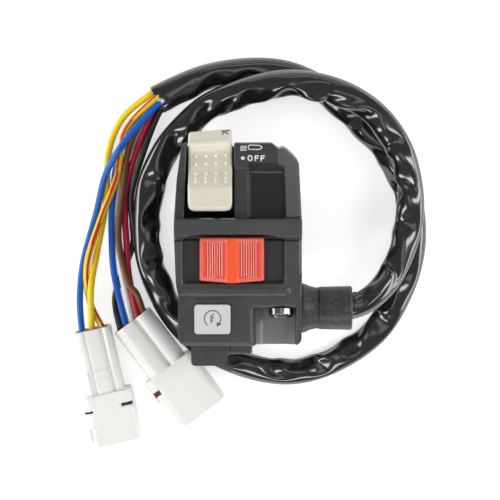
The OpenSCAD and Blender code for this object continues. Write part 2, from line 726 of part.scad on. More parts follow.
// Engine stop slide
module stop_slide() {
    half = stop_w / 2;
    ridge = 2.2;
    top = floor_z + stop_rise;
    flank_in = top - 1;
    flank_out = top - 2.8;
    rib_span = half - ridge - 3;
    color("#d8362c") {
        along_y(stop_y0, stop_y1) translate([stop_x, 0]) polygon([
            [-half, floor_z + run_gap], [-half, flank_out - 0.6], [-half + 0.8, flank_out],
            [-ridge - 0.4, flank_in], [-ridge, top], [ridge, top], [ridge + 0.4, flank_in],
            [half - 0.8, flank_out],
            [half, flank_out - 0.6], [half, floor_z + run_gap]]);
        for (side = [-1, 1], i = [0 : stop_ribs - 1]) {
            x = ridge + 1.4 + rib_span * i / (stop_ribs - 1);
            z = flank_in + (flank_out - flank_in) * (x - ridge - 0.4) / (half - ridge - 1.2);
            block(stop_x + side * x - rib_w / 2, stop_x + side * x + rib_w / 2,
                stop_y0 + 0.9, stop_y1 - 0.9, z - 0.8, z + rib_rise);
        }
        block(stop_x - stem_w / 2, stop_x + stem_w / 2, stop_y - stem_w / 2, stop_y + stem_w / 2,
            carrier_z + 1, floor_z + run_gap + eps);
    }
}

module stop_carrier() {
    color("#d8d4c8") difference() {
        block(stop_x - carrier_half_w, stop_x + carrier_half_w, carrier_y0, carrier_y1,
            carrier_z, carrier_z + carrier_t);
        block(stop_x - stem_w / 2 - fit_gap, stop_x + stem_w / 2 + fit_gap,
            stop_y - stem_w / 2 - fit_gap, stop_y + stem_w / 2 + fit_gap, carrier_z + 1 - fit_gap, far);
    }
}

module stop_bridge() {
    color("#c58b4e") block(stop_x - pad_pitch / 2 - 1, stop_x + pad_pitch / 2 + 1, stop_y - 1.2, stop_y + 1.2,
        stop_bridge_z, carrier_z);
}

module stop_contact_base() {
    color("#6f4a2c") difference() {
        union() {
            block(stop_plate_x0, stop_plate_x1, stop_plate_y0, stop_plate_y1, stop_base_z, stop_pad_z);
            block(stop_x - stop_travel - fence_over, stop_x + stop_travel + fence_over,
                stop_plate_y0, fence_y, stop_pad_z - eps, fence_z);
        }
        for (x = stop_pad_x) rod_z(stop_base_z - through, stop_pad_z + through, tail_r + fit_gap, x, stop_y);
        for (step = [-1 : 1])
            rod_z(stop_pad_z + 0.6, fence_z + through, notch_r, stop_x + step * stop_travel, stop_bump_y);
    }
}

module stop_terminals() {
    color("#c9a24a") for (x = stop_pad_x) {
        rod_z(stop_pad_z, stop_pad_z + brass_t, pad_r, x, stop_y);
        rod_z(stop_base_z - plate_t, stop_pad_z, tail_r, x, stop_y);
    }
}

module stop_detent_spring() {
    z0 = carrier_z + 0.4;
    z1 = carrier_z + 2.2;
    half = carrier_half_w - 0.8;
    color("#b9bcc0") {
        block(stop_x - half, stop_x + half, stop_bump_y + 0.35, stop_bump_y + 0.35 + leaf_t, z0, z1);
        rod_z(z0, z1, bump_r, stop_x, stop_bump_y);
        for (side = [-1, 1])
            block(stop_x + side * (half - 0.6) - 0.6, stop_x + side * (half - 0.6) + 0.6,
                stop_bump_y + 0.35, carrier_y0, z0, z1);
    }
}

// Start button
module start_button() {
    color("#b9babb") {
        along_z(start_flange_z1 - eps, start_face_z + start_proud) round_rect(
            start_x - start_w / 2, start_x + start_w / 2, start_y - start_h / 2, start_y + start_h / 2, 1.1);
        block(start_x - start_w / 2 - flange_lip, start_x + start_w / 2 + flange_lip,
            start_y - start_h / 2 - flange_lip, start_y + start_h / 2 + flange_lip,
            start_flange_z0, start_flange_z1);
        rod_z(start_bridge_z - 0.2, start_flange_z0 + eps, start_stem_r, start_x, start_y);
    }
}

module start_contact_base() {
    x0 = start_x - start_base_half_w;
    x1 = start_x + start_base_half_w;
    y0 = start_y - start_base_half_h;
    y1 = start_y + start_base_half_h;
    color("#6f4a2c") difference() {
        union() {
            block(x0, x1, y0, y1, start_plate_z0, start_plate_z1);
            block(x0, x1, y0, y1, start_floor_z0, start_floor_z1);
            for (x = [x0, x1 - plate_t]) block(x, x + plate_t, y0, y1, start_floor_z0, start_plate_z1);
            block(start_x - start_ear - start_boss_r, start_x + start_ear + start_boss_r,
                start_y - start_boss_r, start_y + start_boss_r, start_floor_z0, start_floor_z1);
        }
        rod_z(start_plate_z0 - 1, start_plate_z1 + 1, start_stem_r + run_gap / 2, start_x, start_y);
        for (side = [-1, 1]) {
            rod_z(start_floor_z0 - through, start_floor_z1 + through, start_tail_r + fit_gap,
                start_x + side * start_pad_x, start_y);
            rod_z(start_floor_z0 - through, start_floor_z1 + through, small_screw_r,
                start_x + side * start_ear, start_y);
        }
    }
}

module start_bridge() {
    color("#c58b4e") difference() {
        block(start_x - start_bridge_half_w, start_x + start_bridge_half_w,
            start_y - start_bridge_half_h, start_y + start_bridge_half_h,
            start_bridge_z, start_bridge_z + brass_t);
        rod_z(start_bridge_z - 1, start_bridge_z + 2, start_stem_r, start_x, start_y);
    }
}

module start_terminals() {
    color("#c9a24a") for (side = [-1, 1]) {
        rod_z(start_floor_z1, start_pad_z, start_pad_r, start_x + side * start_pad_x, start_y);
        rod_z(start_floor_z0 - start_tail_l, start_floor_z1, start_tail_r,
            start_x + side * start_pad_x, start_y);
    }
}

module start_base_screws() {
    color("#c8c9cb") for (side = [-1, 1])
        translate([start_x + side * start_ear, start_y, start_floor_z1]) small_screw(start_boss_l - 0.5);
}

// Return spring as one helix round the stem
module start_spring() {
    color("#b9bcc0") cord(spring_points, spring_wire / 2, 6, [0, 1, 0], [0, 1, 0]);
}

// Rubber boot turned about the cable entry, with a neck through the housing wall
module cable_boot() {
    color("#1d1d1e") translate([0, boot_y, boot_z]) rotate([0, 90, 0]) rotate_extrude() polygon([
        [boot_bore_r, boot_inner_x - boot_collar_l], [boot_collar_r, boot_inner_x - boot_collar_l],
        [boot_collar_r, boot_inner_x],
        [boot_neck_r, boot_inner_x], [boot_neck_r, boot_x0], [boot_flange_d / 2, boot_x0],
        [boot_flange_d / 2, boot_x0 + 0.8], [boot_tube_r, boot_waist_x], [boot_tube_r + boot_flare, boot_x1],
        [boot_bore_r, boot_x1]]);
}

// Free cords are drawn from the surface that the cluster rests on

module harness_sleeve() {
    color("#161617") translate([0, 0, rest_z])
        cord(sleeve_route, sleeve_d / 2, sleeve_sides, sleeve_first, sleeve_last);
}

// A wire starts at its place in the sleeve's end, follows its points and ends square to its connector
function sleeve_slot(u, h) = [sleeve_end[0] + u * sleeve_across[0], sleeve_end[1] + u * sleeve_across[1], h];
function plug_dir(place) = [cos(place[2]), sin(place[2]), 0];
function plug_entry(place, u) = [place[0] - u * sin(place[2]), place[1] + u * cos(place[2]), plug_pin_z];

module wire(tint, slot, points, place, u) {
    route = concat([sleeve_slot(slot[0], slot[1])], points, [plug_entry(place, u)]);
    color(tint) translate([0, 0, rest_z]) cord(route, wire_d / 2, wire_sides, sleeve_last, plug_dir(place));
}

module wire_blue_long() {
    points = [[-38, 39, 7.8], [-45, 30, 7.4], [-50.3, 20, 4], [-53.8, 6, 1.6], [-58.7, -12, 1.3],
        [-60, -26, 4]];
    wire("#2f86d6", [1.3, 7.4], points, left_plug_place, -3.8);
}

module wire_yellow() {
    points = [[-43.5, 42, 2.2], [-49, 29, 1.3], [-50.2, 10, 1.3], [-53.4, -8, 1.6], [-55.6, -22, 7.2]];
    wire("#f3d21f", [-3.9, 5], points, left_plug_place, 0);
}

module wire_yellow_red() {
    points = [[-42.5, 37, 5], [-45.8, 20, 4], [-52, 4, 4.2], [-57.2, -13, 4], [-56.4, -27, 3]];
    wire("#f0c81e", [-1.3, 7.4], points, left_plug_place, 3.8);
}

module wire_brown() {
    points = [[-40.5, 33, 4], [-43.5, 16, 4], [-45.3, -3, 4.2], [-41.8, -19, 7.2], [-38.3, -24, 8.8]];
    wire("#7a4a2b", [-1.3, 5], points, right_plug_place, 5.4);
}

module wire_black() {
    points = [[-34.6, 32.5, 6], [-40.3, 14, 3.2], [-40.1, 2, 1.3], [-40, -6, 1.3], [-44.5, -18, 1.3],
        [-46.8, -27, 1.8]];
    wire("#1a1a1b", [3.6, 6.3], points, right_plug_place, -5.4);
}

module wire_crimson() {
    points = [[-38.6, 29, 3], [-42.8, 12, 1.3], [-42.3, -5, 3.6], [-41.3, -18, 4.6]];
    wire("#b3243a", [1.3, 5], points, right_plug_place, 2.7);
}

module wire_blue_short() {
    points = [[-44, 31, 1.3], [-47.5, 12, 1.3], [-48, -4, 1.3], [-46.8, -18, 3.8]];
    wire("#2f86d6", [-1.3, 2.6], points, right_plug_place, -2.7);
}

module wire_white() {
    points = [[-41, 30, 1.3], [-45.1, 12, 1.3], [-45.5, -4, 1.3], [-44.3, -16, 4]];
    wire("#e8e8e6", [1.3, 2.6], points, right_plug_place, 0);
}

// Connectors, drawn along X from the wire side to the mouth
module at_plug(place) { translate([place[0], place[1], rest_z]) rotate([0, 0, place[2]]) children(); }
module plug_section(half_y, z0, z1, r) { round_rect(-half_y, half_y, z0, z1, r); }

module plug_body(w, barrel_l, floor_l, shroud_l, barrel_r) {
    half = w / 2;
    wide = half + shroud_step;
    difference() {
        union() {
            along_x(0, barrel_l) plug_section(half, barrel_z0, barrel_z1, barrel_r);
            along_x(barrel_l, barrel_l + shroud_l) plug_section(wide, 0, plug_h, 2.2);
        }
        along_x(-through, seal_l)
            plug_section(half - barrel_wall, barrel_z0 + barrel_wall, barrel_z1 - barrel_wall, 1.6);
        along_x(barrel_l + floor_l, barrel_l + shroud_l + 1)
            plug_section(wide - shroud_wall, shroud_wall, plug_h - shroud_wall, 1.2);
    }
}

module plug_pins(count, pitch, barrel_l, floor_l, reach, grow) {
    for (i = [0 : count - 1]) {
        y = (i - (count - 1) / 2) * pitch;
        block(seal_l + 0.2 - grow, barrel_l + floor_l + reach, y - pin_half - grow, y + pin_half + grow,
            plug_pin_z - pin_half - grow, plug_pin_z + pin_half + grow);
    }
}

module plug_seal(w) {
    color("#8a6a4a") along_x(0, seal_l)
        plug_section(w / 2 - barrel_wall - seal_gap, barrel_z0 + barrel_wall + seal_gap,
            barrel_z1 - barrel_wall - seal_gap, 1.5);
}

module left_connector() {
    half = left_half;
    color("#f2f2f0") at_plug(left_plug_place) difference() {
        union() {
            plug_body(left_plug_w, left_plug_barrel, left_floor, left_shroud_l, left_barrel_r);
            // Latch ramp on the barrel, in three steps
            for (i = [0 : 2])
                block(left_plug_barrel - 9 + 3 * i, left_plug_barrel + eps, -2.6, 4.4,
                    barrel_z1 - eps, barrel_z1 + 0.2 + 0.25 * i);
            block(left_plug_barrel - 8, left_plug_barrel + eps, -half + 0.6, -half + 2.6,
                barrel_z1 - eps, barrel_z1 + 0.7);
        }
        plug_pins(3, plug_pin_pitch, left_plug_barrel, left_floor, 1, fit_gap);
        // Latch slots in the shroud
        block(left_plug_barrel + 5, left_plug_barrel + 7, 2.4, 7.6, plug_h - shroud_wall - 1, plug_h + 1);
        block(left_plug_barrel + 7, left_plug_barrel + 8, -half - 1, -half + 3, plug_h - 1, plug_h + 1);
        block(left_plug_barrel + 13.5, left_plug_barrel + 18, -half + 1.2, -half + 2.4,
            plug_h - 1, plug_h + 1);
    }
}

module right_connector() {
    color("#f2f2f0") at_plug(right_plug_place) difference() {
        plug_body(right_plug_w, right_plug_barrel, right_floor, right_shroud_l, right_barrel_r);
        plug_pins(5, right_pin_pitch, right_plug_barrel, right_floor, 1, fit_gap);
        // Groove between the two lobes of the barrel
        rod_x(-through, right_plug_barrel, 1.4, 1.6, barrel_z1 + 0.6);
        // Pocket and window of the red retainer
        block(retainer_x - fit_gap, retainer_x + retainer_l + fit_gap, -right_wide - through, right_half - 3,
            retainer_z0 - fit_gap, retainer_z1 + fit_gap);
        block(retainer_x + 0.2, retainer_x + 0.2 + window_l, -right_wide + 0.6, -right_wide + 3,
            retainer_z1, plug_h + 1);
    }
}

module left_connector_seal() { at_plug(left_plug_place) plug_seal(left_plug_w); }
module right_connector_seal() { at_plug(right_plug_place) plug_seal(right_plug_w); }

module left_connector_pins() {
    color("#c9a24a") at_plug(left_plug_place)
        plug_pins(3, plug_pin_pitch, left_plug_barrel, left_floor, pin_reach, 0);
}

module right_connector_pins() {
    color("#c9a24a") at_plug(right_plug_place)
        plug_pins(5, right_pin_pitch, right_plug_barrel, right_floor, pin_reach / 2, 0);
}

module right_connector_retainer() {
    color("#7c1f2b") at_plug(right_plug_place)
        block(retainer_x, retainer_x + retainer_l, -right_wide + 0.4, right_half - 3.2,
            retainer_z0, retainer_z1);
}

upper_housing();
lower_housing();
front_clamp_screw();
rear_clamp_screw();
front_insert();
rear_insert();
light_lever();
light_shaft();
light_rotor();
light_bridge();
light_contact_plate();
light_terminals();
light_detent_spring();
light_plate_screws();
stop_slide();
stop_carrier();
stop_bridge();
stop_contact_base();
stop_terminals();
stop_detent_spring();
start_button();
start_bridge();
start_spring();
start_contact_base();
start_terminals();
start_base_screws();
cable_boot();
harness_sleeve();
wire_blue_long();
wire_yellow();
wire_yellow_red();
wire_brown();
wire_black();
wire_crimson();
wire_blue_short();
wire_white();
left_connector();
left_connector_seal();
left_connector_pins();
right_connector();
right_connector_seal();
right_connector_pins();
right_connector_retainer();
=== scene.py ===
import math

import bmesh
import bpy
import numpy as np
from mathutils import Matrix, Vector


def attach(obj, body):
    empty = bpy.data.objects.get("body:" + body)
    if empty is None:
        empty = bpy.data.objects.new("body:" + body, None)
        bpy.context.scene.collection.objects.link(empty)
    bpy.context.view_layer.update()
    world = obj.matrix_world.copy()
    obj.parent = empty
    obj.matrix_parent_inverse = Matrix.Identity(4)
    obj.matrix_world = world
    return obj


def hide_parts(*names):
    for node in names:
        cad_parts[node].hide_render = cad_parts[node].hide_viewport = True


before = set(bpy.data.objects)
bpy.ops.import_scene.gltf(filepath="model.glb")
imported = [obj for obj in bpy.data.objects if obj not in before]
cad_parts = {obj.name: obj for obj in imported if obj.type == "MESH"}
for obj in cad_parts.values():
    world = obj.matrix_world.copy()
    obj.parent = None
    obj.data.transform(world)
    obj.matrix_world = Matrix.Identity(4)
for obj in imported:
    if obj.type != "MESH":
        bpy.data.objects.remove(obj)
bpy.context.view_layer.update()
print("stage: frame loaded")

mm = 0.001
restZ = -22.5  # height of the surface, in mm

blackPlastic = {"color": (0.036, 0.036, 0.037), "vary": 0.35, "roughness": 0.34, "grain": 1100, "bump": 0.3,
    "speckle": 0.7}
# a greyer black: the lower housing's own tone, also used on the brow band as painted light that makes that lit face
# lighter
greyBlackAndBrowLight = {**blackPlastic, "color": (0.055, 0.055, 0.056)}
# smooth black for the recess: a smoother finish, its colour darkened further as painted shade for the shadowed well
smoothBlackPaintedShade = {"color": (0.006, 0.006, 0.007), "vary": 0.2, "roughness": 0.42, "grain": 1400, "bump": 0.05}
# painted shade: a slightly darker black for the sunken trough floors
troughPaintedShade = {"color": (0.030, 0.030, 0.031), "vary": 0.25, "roughness": 0.42, "grain": 1700, "bump": 0.15}
# painted highlight: a lighter grey on the scoop's floor and walls stands for the gloss reflection in the concave scoop
scoopPaintedHighlight = {"color": (0.24, 0.24, 0.242), "vary": 0.25, "roughness": 0.28, "grain": 1700, "bump": 0.15}
ivoryPlastic = {"color": (0.75, 0.71, 0.585), "vary": 0.05, "roughness": 0.21, "grain": 900, "bump": 0.02}
# painted highlight: a near-white for the lever's dots, so they read brighter than the ivory
ivoryDotsPaintedHighlight = {"color": (0.97, 0.96, 0.92), "vary": 0.04, "roughness": 0.20, "grain": 900, "bump": 0.01}
redPlastic = {"color": (0.82, 0.095, 0.065), "vary": 0.08, "roughness": 0.18, "grain": 1200, "bump": 0.02}
# painted highlight: pinkish white drawn on the crest of each rib
redCrestHighlight = {"color": (0.95, 0.66, 0.61), "vary": 0.05, "roughness": 0.18, "grain": 900, "bump": 0.02}
# painted highlight: a lighter red along the slide's rounded rim and outer flanks
redRimHighlight = {"color": (0.88, 0.16, 0.115), "vary": 0.05, "roughness": 0.16, "grain": 900, "bump": 0.02}
orangePlastic = {"color": (0.98, 0.09, 0.012), "vary": 0.05, "roughness": 0.26, "grain": 1200, "bump": 0.01}
greyPlastic = {"color": (0.66, 0.66, 0.655), "vary": 0.05, "roughness": 0.40, "grain": 1800, "bump": 0.03}
nylon = {"color": (0.875, 0.875, 0.85), "vary": 0.04, "roughness": 0.30, "grain": 700, "bump": 0.02}
darkRed = {"color": (0.13, 0.008, 0.008), "vary": 0.10, "roughness": 0.35, "grain": 900, "bump": 0.02}
slotShade = {"color": (0.02, 0.02, 0.022), "vary": 0.2, "roughness": 0.6, "grain": 900, "bump": 0.02}
naturalPlastic = {"color": (0.70, 0.67, 0.58), "vary": 0.06, "roughness": 0.42, "grain": 900, "bump": 0.02}
phenolic = {"color": (0.22, 0.12, 0.06), "vary": 0.25, "roughness": 0.55, "grain": 1500, "bump": 0.08}
rubber = {"color": (0.052, 0.052, 0.052), "vary": 0.6, "roughness": 0.42, "grain": 1000, "bump": 0.3, "speckle": 2.0}
sealRubber = {"color": (0.28, 0.15, 0.08), "vary": 0.15, "roughness": 0.60, "grain": 1200, "bump": 0.06}
vinyl = {"color": (0.006, 0.006, 0.0065), "vary": 0.30, "roughness": 0.15, "grain": 420, "bump": 0.02,
    "specular": 1.0, "ior": 1.62}
plated = {"color": (0.30, 0.30, 0.30), "vary": 0.06, "roughness": 0.20, "grain": 1500, "bump": 0.02, "metallic": 1.0}
darkSteel = {"color": (0.035, 0.035, 0.037), "vary": 0.2, "roughness": 0.45, "grain": 1500, "bump": 0.05,
    "metallic": 0.6}
springSteel = {"color": (0.60, 0.61, 0.63), "vary": 0.08, "roughness": 0.24, "grain": 2400, "bump": 0.03,
    "metallic": 1.0}
brass = {"color": (0.72, 0.54, 0.26), "vary": 0.10, "roughness": 0.26, "grain": 1500, "bump": 0.03, "metallic": 1.0}
copper = {"color": (0.72, 0.40, 0.25), "vary": 0.10, "roughness": 0.28, "grain": 1500, "bump": 0.03, "metallic": 1.0}
printWhite = {"color": (0.82, 0.82, 0.81), "vary": 0.05, "roughness": 0.50, "grain": 2400, "bump": 0.05}
printGrey = {"color": (0.12, 0.12, 0.125), "vary": 0.10, "roughness": 0.50, "grain": 2400, "bump": 0.05}


class Sock:  # one output of a shader graph, with plain arithmetic
    def __init__(self, tree, out):
        self.tree, self.out = tree, out

    def node(self, kind, inputs, pick=0, **settings):
        made = self.tree.nodes.new(kind)
        for key, value in settings.items():
            setattr(made, key, value)
        for key, value in inputs.items():
            if isinstance(value, Sock):
                self.tree.links.new(value.out, made.inputs[key])
            else:
                made.inputs[key].default_value = value
        return Sock(self.tree, made.outputs[pick])

    def maths(self, operation, other, swap=False):
        first, second = (other, self) if swap else (self, other)
        return self.node("ShaderNodeMath", {0: first, 1: second}, operation=operation)

    def __add__(self, other):
        return self.maths("ADD", other)

    __radd__ = __add__

    def __sub__(self, other):
        return self.maths("SUBTRACT", other)

    def __rsub__(self, other):
        return self.maths("SUBTRACT", other, True)

    def __mul__(self, other):
        return self.maths("MULTIPLY", other)

    __rmul__ = __mul__


noises = {"broadScale": 90.0, "broadDetail": 3.0, "fineDetail": 2.0, "roughFrom": 0.85, "roughSpan": 0.3,
    "bumpDistance": 0.0002}
materials = {}


def finishOf(name, look):
    made = bpy.data.materials.new(name)
    made.use_nodes = True
    tree = made.node_tree
    shader = tree.nodes["Principled BSDF"]
    places = Sock(tree, tree.nodes.new("ShaderNodeTexCoord").outputs["Object"])
    broad = places.node("ShaderNodeTexNoise",
        {"Vector": places, "Scale": noises["broadScale"], "Detail": noises["broadDetail"]})
    fine = places.node("ShaderNodeTexNoise",
        {"Vector": places, "Scale": float(look["grain"]), "Detail": noises["fineDetail"]})
    level = 1.0 + (broad - 0.5) * (2.0 * look["vary"]) + (fine - 0.5) * look.get("speckle", look["vary"])
    color = places.node("ShaderNodeMix", {6: (0, 0, 0, 1), 7: (*look["color"], 1), 0: level}, 2,
        data_type="RGBA", clamp_factor=False)
    rough = look["roughness"] * (noises["roughFrom"] + noises["roughSpan"] * broad)
    normal = places.node("ShaderNodeBump",
        {"Height": fine, "Strength": look["bump"], "Distance": noises["bumpDistance"]})
    for key, value in (("Base Color", color), ("Roughness", rough), ("Normal", normal)):
        tree.links.new(value.out, shader.inputs[key])
    shader.inputs["Metallic"].default_value = look.get("metallic", 0.0)
    shader.inputs["Specular IOR Level"].default_value = look.get("specular", 0.5)
    shader.inputs["IOR"].default_value = look.get("ior", 1.5)
    return made


def material(name, look):  # made once for each name
    if name not in materials:
        materials[name] = finishOf(name, look)
    return materials[name]


def link(name, data):
    made = bpy.data.objects.new(name, data)
    bpy.context.scene.collection.objects.link(made)
    return made


def meshOf(name, points, faces, look, smooth=True):
    mesh = bpy.data.meshes.new(name)
    mesh.from_pydata([Vector(p) * mm for p in points], [], faces)
    mesh.validate()
    work = bmesh.new()
    work.from_mesh(mesh)
    bmesh.ops.recalc_face_normals(work, faces=work.faces)
    work.to_mesh(mesh)
    work.free()
    if smooth:
        mesh.shade_smooth()
    mesh.materials.append(look)
    return link(name, mesh)


def runOf(points):  # length along a line, at each of its points
    return np.r_[0, np.cumsum(np.linalg.norm(np.diff(points, axis=0), axis=1))]


def pointsAt(at, run, points):
    return np.stack([np.interp(at, run, k) for k in points.T], 1)


def unit(vectors):
    return vectors / np.linalg.norm(vectors, axis=1)[:, None]


def spline(points, step, pieces=40):  # smooth line through the points, in even steps
    p = np.array(points, float)
    p = np.vstack([2 * p[0] - p[1], p, 2 * p[-1] - p[-2]])
    t = np.linspace(0, 1, pieces, endpoint=False)[:, None]
    out = []
    for i in range(1, len(p) - 2):
        a, b, c, d = p[i - 1:i + 3]
        out.append(0.5 * (2 * b + (c - a) * t + (2 * a - 5 * b + 4 * c - d) * t ** 2
            + (3 * b - a - 3 * c + d) * t ** 3))
    q = np.vstack(out + [p[-2:-1]])
    run = runOf(q)
    return pointsAt(np.linspace(0, run[-1], int(round(run[-1] / step)) + 1), run, q)


def frameOf(line):  # directions along, beside and above a line
    along = unit(np.gradient(line, axis=0))
    side = unit(np.cross((0.0, 0.0, 1.0), along))
    return along, side, np.cross(along, side)


def fullTurn(sides):
    return np.arange(sides) * 2 * np.pi / sides


def ovalTube(line, side, up, half, angle):
    tube = line[:, None] + side[:, None] * (half[0] * np.cos(angle))[None, :, None]
    return tube + up[:, None] * (half[1] * np.sin(angle))[None, :, None]


def gridFaces(rows, columns):  # faces between rings of equal count
    return [(i * columns + j, i * columns + (j + 1) % columns,
        (i + 1) * columns + (j + 1) % columns, (i + 1) * columns + j)
        for i in range(rows - 1) for j in range(columns)]


def endFaces(rows, columns):
    return [tuple(range(columns))[::-1], tuple(range((rows - 1) * columns, rows * columns))]


def rounded(points, radius, step=0.25, most=0.48, pieces=9):  # the outline with its corners eased
    p = [np.array(q, float) for q in points]
    out = [p[0]]
    for before, here, after in zip(p[:-2], p[1:-1], p[2:]):
        a, b = before - here, after - here
        reach = [min(radius, most * np.linalg.norm(k)) / np.linalg.norm(k) for k in (a, b)]
        first, last = here + a * reach[0], here + b * reach[1]
        out += [(1 - t) ** 2 * first + 2 * t * (1 - t) * here + t * t * last for t in np.linspace(0, 1, pieces)]
    out = np.array(out + [p[-1]])
    run = runOf(out)
    return pointsAt(np.linspace(0, run[-1], max(2, int(run[-1] / step))), run, out)


def inward(path, inset):  # the outline moved to its right-hand side
    along = np.gradient(path, axis=0)
    along /= np.linalg.norm(along, axis=1)[:, None] + 1e-12
    return path + inset * np.stack([along[:, 1], -along[:, 0]], 1)


def easedStations(low, high, edge, steps, middle):  # places along a width, with the inset that rounds its ends
    turns = np.linspace(0, math.pi / 2, steps)
    start = [(low + edge * (1 - math.cos(t)), edge * (1 - math.sin(t))) for t in turns]
    end = [(high - edge * (1 - math.cos(t)), edge * (1 - math.sin(t))) for t in turns[::-1]]
    return start + [(x, 0.0) for x in np.linspace(low + edge, high - edge, middle)[1:-1]] + end


def ringsToMesh(name, rings, look):  # equal rings joined into a closed solid
    rows, columns = len(rings), len(rings[0])
    return meshOf(name, np.vstack(rings), gridFaces(rows, columns) + endFaces(rows, columns), look)


strokeForm = {"sides": 10, "step": 0.15, "cap": 0.7, "capWidth": 0.5}


def bead(name, lines, radius, flat, look, facing=(0, 0, 1)):  # raised strokes, flattened onto a face
    up = np.array(facing, float)
    sides, cap = strokeForm["sides"], strokeForm["cap"]
    angle = fullTurn(sides)
    points, faces = [], []
    for line in lines:
        p = np.array(line, float)
        run = runOf(p)
        even = np.linspace(0, run[-1], max(2, int(run[-1] / strokeForm["step"])))
        p = pointsAt(np.unique(np.r_[run, even]), run, p)
        along = unit(np.gradient(p, axis=0))
        p = np.vstack([p[0] - along[0] * radius * cap, p, p[-1] + along[-1] * radius * cap])
        side = unit(np.cross(up, np.vstack([along[:1], along, along[-1:]])))
        width = np.full(len(p), radius)
        width[[0, -1]] *= strokeForm["capWidth"]
        ring = p[:, None] + side[:, None] * (width[:, None] * np.cos(angle))[..., None]
        ring = ring + up * (flat * np.sin(angle))[None, :, None]
        base = len(points)
        points += list(ring.reshape(-1, 3))
        faces += [tuple(base + k for k in f) for f in gridFaces(len(p), sides) + endFaces(len(p), sides)]
    return meshOf(name, points, faces, look)


def fit(made, body, slot, *nodes):
    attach(made, body)
    if nodes:
        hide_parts(*nodes)
    return made


camera = {"tilt": 5.0, "target": (4.32, -3.96, 25.0), "distance": 900.0, "viewWidth": 180.0, "sensor": 36.0,
    "clip": (0.05, 20.0)}
view = bpy.data.cameras.new("photoCamera")
view.sensor_width, view.lens = camera["sensor"], camera["sensor"] * camera["distance"] / camera["viewWidth"]
eye = link("photoCamera", view)
lean = math.radians(camera["tilt"])
eye.location = (Vector(camera["target"]) + camera["distance"] * Vector((0, math.sin(lean), math.cos(lean)))) * mm
eye.rotation_euler = (-lean, 0, 0)
view.clip_start, view.clip_end = camera["clip"]
bpy.context.scene.camera = eye
bpy.context.scene.view_settings.view_transform = "Standard"
print("stage: camera placed")

sleeve = {
    "route": [
        (32, -27.5, 24.25), (42, -27.5, 24.25), (49, -24.2, 23), (55.3, -17.6, 19.8), (60, -9, 17),
        (63, 0.5, 15.8), (64.5, 10, 15.8), (63.5, 20, 15.8), (60.5, 30.5, 15.8), (55, 39.5, 15.8),
        (47, 47, 15.8), (37, 52, 15.8), (27.5, 54.5, 15.8), (18, 55.5, 15.8), (8, 53.5, 14),
        (-1.5, 50.5, 11.2), (-11, 46.5, 8), (-19, 40, 5.6), (-26, 32, 5), (-30.5, 23, 5),
        (-34, 13, 5), (-34.5, 2, 5), (-34, -9.5, 5), (-31, -20, 5), (-26, -30, 5),
        (-19, -38.5, 5), (-10.5, -45.5, 5), (-0.5, -50.5, 5), (10.5, -53.5, 5), (21.5, -54, 5),
        (32.5, -51, 5), (43, -45.5, 5), (52, -38, 5), (58.5, -28, 5), (63, -17, 5),
        (65.5, -6, 5), (65.5, 6, 5), (62.5, 17.5, 5), (56.5, 28.5, 5), (49, 37.5, 5),
        (40.5, 46, 5), (30.5, 53, 5), (19, 58, 5), (7, 60, 5), (-5, 59, 5),
        (-16, 56, 5), (-25, 51.5, 5), (-30.5, 48.5, 5)],
    "diameter": 10.0, "half": (5.6, 4.4), "core": (4.7, 2.2), "outer": (5.95, 4.75), "wall": 0.7,
    "sides": 44, "step": 0.75, "lineRounds": 60, "lineEase": 0.25,
    "rounds": 220, "seed": 3, "noise": 0.35, "noiseWindow": 25, "noiseFade": 20.0,
    "slack": 0.80, "slackFade": 16, "bendWindow": 43,
    "twist": (0.10, 0.16, 0.12, -0.06, 0.08, -0.08, 0.10, 0.05, 0.0), "crossShare": 0.6,
    "stiffness": 0.22, "spans": (2, 4, 7, 11), "roundEase": 0.03, "alongEase": 0.02,
    "outerBlur": (5, 2), "innerBlur": (3, 1), "outerFrom": 0.05, "outerSlope": 1.5,
    "cutRows": 20,  # rows of the inner wall behind the cut end
}


def averaged(field, bell, axis, mode):  # weighted running average along one axis
    reach = len(bell) // 2
    return np.apply_along_axis(
        lambda z: np.convolve(np.pad(z, reach, mode=mode), bell / bell.sum(), "valid"), axis, field)


def blurred(field, rows, columns):
    for axis, size, mode in ((0, rows, "edge"), (1, columns, "wrap")):
        bell = np.exp(-0.5 * (np.arange(-3 * size, 3 * size + 1) / size) ** 2)
        field = averaged(field, bell, axis, mode)
    return field


def pull(first, second, rest, share):  # two points move towards their rest distance
    gone = second - first
    size = np.sqrt((gone * gone).sum(-1)) + 1e-9
    move = (0.5 * share * (1 - rest / size))[..., None] * gone
    return first + move, second - move


